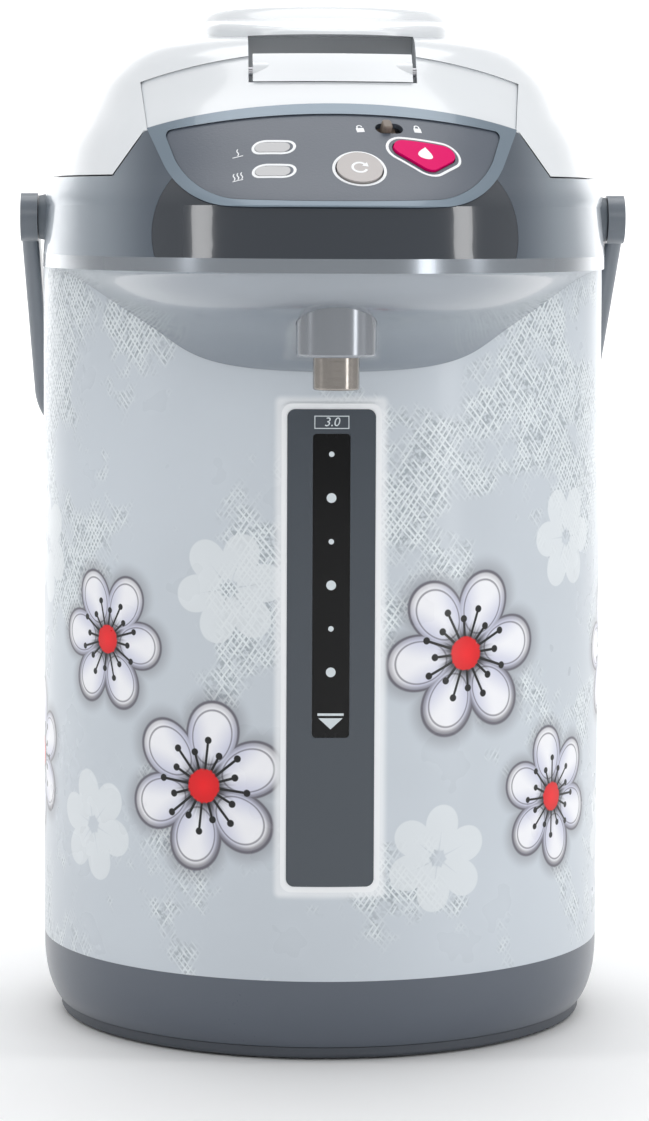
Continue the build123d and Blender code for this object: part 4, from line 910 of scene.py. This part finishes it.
# ---------------------------------------------------------------- lid
class THERMOPOT_OT_lid(bpy.types.Operator):
    """Finishes the lid, its lever and its underside"""

    bl_idname = "thermopot.lid"
    bl_label = "Lid"

    def execute(self, context):
        colours = context.scene.thermopot_colours
        white = moulded("lid_white", colours.lid[:], 0.2, mottle=0.107, ripple=0.06,
                        Coat_Weight=0.4, Coat_Roughness=0.06)
        white.wear("lid_cover", "lid_apron", "lid_latch", "vent_cap")
        inner = moulded("inner_plastic", tint(214, 217, 220), 0.4, grain=0.3)
        inner.wear("lid_base", "steam_tube", "mouth_ring")
        rubber("seal_silicone", tint(224, 224, 218)).wear("lid_gasket")
        steel("lid_steel", tint(196, 196, 198), 0.28).wear("inner_lid")
        return {"FINISHED"}


# ---------------------------------------------------------------- handle
class THERMOPOT_OT_handle(bpy.types.Operator):
    """Finishes the bail handle and its pivots"""

    bl_idname = "thermopot.handle"
    bl_label = "Handle"

    def execute(self, context):
        colours = context.scene.thermopot_colours
        moulded("handle_grey", colours.handle[:], 0.34, grain=0.2,
                Coat_Weight=0.2).wear("handle")
        moulded("pivot_grey", tint(96, 104, 112), 0.4).wear(
            "left_handle_boss", "right_handle_boss")
        steel("hinge_steel", tint(176, 176, 180), 0.25, around=False).wear(
            "hinge_pin", "latch_pin")
        return {"FINISHED"}


# ---------------------------------------------------------------- base, inlet and feet
class THERMOPOT_OT_base(bpy.types.Operator):
    """Finishes the skirt, the swivel base and the power inlet"""

    bl_idname = "thermopot.base"
    bl_label = "Base"

    def execute(self, context):
        colours = context.scene.thermopot_colours
        moulded("skirt_slate", colours.skirt[:], 0.3, Coat_Weight=0.25).wear("base_skirt")
        dark = moulded("base_dark", tint(70, 75, 83), 0.45, grain=0.5)
        dark.wear("swivel_plate", "bottom_cover", "swivel_retainer")
        rubber("foot_rubber", tint(34, 34, 37)).wear("foot_ring")
        steel("screw_steel", tint(160, 160, 164), 0.3, around=False).wear("base_screws")
        moulded("inlet_black", tint(26, 26, 28), 0.5, grain=0.6).wear("power_inlet")
        steel("contact_brass", tint(214, 178, 104), 0.25, around=False).wear("inlet_pins")
        return {"FINISHED"}


# ---------------------------------------------------------------- inner pot and works
class THERMOPOT_OT_works(bpy.types.Operator):
    """Finishes the inner pot, the pump, the heaters and the boards"""

    bl_idname = "thermopot.works"
    bl_label = "Pot and works"

    def execute(self, context):
        steel("pot_steel", tint(204, 204, 206), 0.24).wear("inner_pot", "strainer", "band_heater")
        steel("heater_cast", tint(188, 188, 190), 0.42).wear("base_heater")
        steel("motor_can", tint(172, 172, 176), 0.35, around=False).wear("pump_motor")
        steel("spring_wire", tint(190, 190, 194), 0.25, around=False).wear(
            "pump_spring", "reboil_spring", "latch_spring")
        moulded("pump_body", tint(214, 212, 204), 0.45).wear("pump_housing", "impeller")
        moulded("switch_black", tint(30, 30, 32), 0.45).wear("thermostat", "button_switches")
        rubber("hose_silicone", tint(226, 226, 222)).wear("suction_pipe", "delivery_pipe",
                                                          "spout_pipe")
        clear = Finish("level_glass", tint(214, 226, 230), 0.08, Alpha=0.55)
        clear.set("Roughness", 0.05 + clear.noise(60.0, 2.0) * 0.06)
        clear.wear("level_tube")
        moulded("board_green", tint(34, 96, 62), 0.4).wear("control_board", "power_board")
        return {"FINISHED"}


# ---------------------------------------------------------------- studio
def softbox(name, place, target, size, power):
    """A rectangular light that faces a point."""
    light = bpy.data.lights.new(name, "AREA")
    light.shape = "RECTANGLE"
    light.size, light.size_y = size
    light.energy = power
    holder = bpy.data.objects.new(name, light)
    holder.location = place
    holder.rotation_euler = (Vector(target) - Vector(place)).to_track_quat("-Z", "Y").to_euler()
    bpy.context.scene.collection.objects.link(holder)


class THERMOPOT_OT_studio(bpy.types.Operator):
    """Builds the floor, the backdrop, the lights and the camera"""

    bl_idname = "thermopot.studio"
    bl_label = "Studio"

    def execute(self, context):
        studio = context.scene.thermopot_studio
        self.sweep()
        self.lights(studio)
        self.camera(studio)
        context.scene.view_settings.view_transform = "Standard"
        return {"FINISHED"}

    def sweep(self):
        """A pale floor that curves up into the backdrop."""
        near, far, height, bend, half_width = -3.6, 3.6, 4.0, 0.9, 5.0
        steps = 16
        profile = [Vector((0, near, 0)), Vector((0, far - bend, 0))]
        profile += [Vector((0, far - bend + bend * sin(a), bend - bend * cos(a)))
                    for a in (pi / 2 * k / steps for k in range(1, steps + 1))]
        profile.append(Vector((0, far, height)))
        mesh = bmesh.new()
        rows = [[mesh.verts.new(p + Vector((x, 0, 0))) for p in profile]
                for x in (-half_width, half_width)]
        for k in range(len(profile) - 1):
            mesh.faces.new((rows[0][k], rows[1][k], rows[1][k + 1], rows[0][k + 1]))
        data = bpy.data.meshes.new("studio_sweep")
        mesh.to_mesh(data)
        mesh.free()
        data.shade_smooth()
        paper = Finish("studio_paper", (0.93, 0.93, 0.93), 0.7)
        paper.set("Roughness", 0.65 + paper.noise(6.0, 2.0) * 0.1)
        data.materials.append(paper.material)
        floor = bpy.data.objects.new("studio_sweep", data)
        bpy.context.scene.collection.objects.link(floor)

    def lights(self, studio):
        middle = (0.0, 0.0, 0.2)
        softbox("key", (0.0, -2.4, 1.3), middle, (1.6, 0.9), studio.key_power)
        softbox("top", (0.0, 0.5, 2.4), middle, (2.4, 1.6), studio.top_power)
        softbox("front_strip", (1.05, -0.9, 0.3), middle, (0.22, 0.9), studio.strip_power)
        for side in (-1, 1):
            softbox("side", (side * 1.5, -0.32, 1.1), middle, (0.24, 1.9), studio.side_power)
            softbox("paper", (side * 1.7, 2.3, 1.6), (side * 0.6, 3.6, 0.6), (0.8, 1.2),
                    studio.paper_power)
        world = bpy.data.worlds.new("studio_room")
        world.use_nodes = True
        background = world.node_tree.nodes["Background"]
        background.inputs["Color"].default_value = (0.97, 0.985, 1.0, 1.0)
        background.inputs["Strength"].default_value = studio.sky
        bpy.context.scene.world = world

    def camera(self, studio):
        lens = bpy.data.cameras.new("studio_camera")
        lens.lens = studio.lens
        lens.sensor_width = 36.0
        lens.shift_y = -studio.shift
        lens.clip_end = 50.0
        holder = bpy.data.objects.new("studio_camera", lens)
        turn = studio.azimuth
        holder.location = (studio.distance * sin(turn), -studio.distance * cos(turn),
                           studio.height)
        aim = Vector((studio.aside - holder.location.x, -holder.location.y, 0)).normalized()
        aim = aim * cos(studio.pitch) - Vector((0, 0, sin(studio.pitch)))
        level = aim.to_track_quat("-Z", "Y")
        holder.rotation_mode = "QUATERNION"
        holder.rotation_quaternion = level @ Matrix.Rotation(studio.roll, 3, "Z").to_quaternion()
        bpy.context.scene.collection.objects.link(holder)
        bpy.context.scene.camera = holder


# ---------------------------------------------------------------- add-on
class THERMOPOT_PT_sidebar(bpy.types.Panel):
    """Lists the pot's dressing steps"""

    bl_idname = "THERMOPOT_PT_sidebar"
    bl_label = "Thermo Pot"
    bl_space_type = "VIEW_3D"
    bl_region_type = "UI"
    bl_category = "Thermo Pot"

    def draw(self, context):
        for step in OPERATORS:
            self.layout.operator(step.bl_idname)


GROUPS = (
    ("thermopot_colours", ThermoPotColours),
    ("thermopot_print", ThermoPotPrint),
    ("thermopot_marks", ThermoPotMarks),
    ("thermopot_studio", ThermoPotStudio),
)
OPERATORS = (
    THERMOPOT_OT_casing,
    THERMOPOT_OT_hood,
    THERMOPOT_OT_panel,
    THERMOPOT_OT_gauge,
    THERMOPOT_OT_lid,
    THERMOPOT_OT_handle,
    THERMOPOT_OT_base,
    THERMOPOT_OT_works,
    THERMOPOT_OT_studio,
)


def register():
    for name, group in GROUPS:
        bpy.utils.register_class(group)
        setattr(bpy.types.Scene, name, PointerProperty(type=group))
    for step in OPERATORS:
        bpy.utils.register_class(step)
    bpy.utils.register_class(THERMOPOT_PT_sidebar)


def unregister():
    bpy.utils.unregister_class(THERMOPOT_PT_sidebar)
    for step in reversed(OPERATORS):
        bpy.utils.unregister_class(step)
    for name, group in reversed(GROUPS):
        delattr(bpy.types.Scene, name)
        bpy.utils.unregister_class(group)


def main():
    register()
    for step in OPERATORS:
        family, name = step.bl_idname.split(".")
        getattr(getattr(bpy.ops, family), name)()


if __name__ == "__main__":
    main()
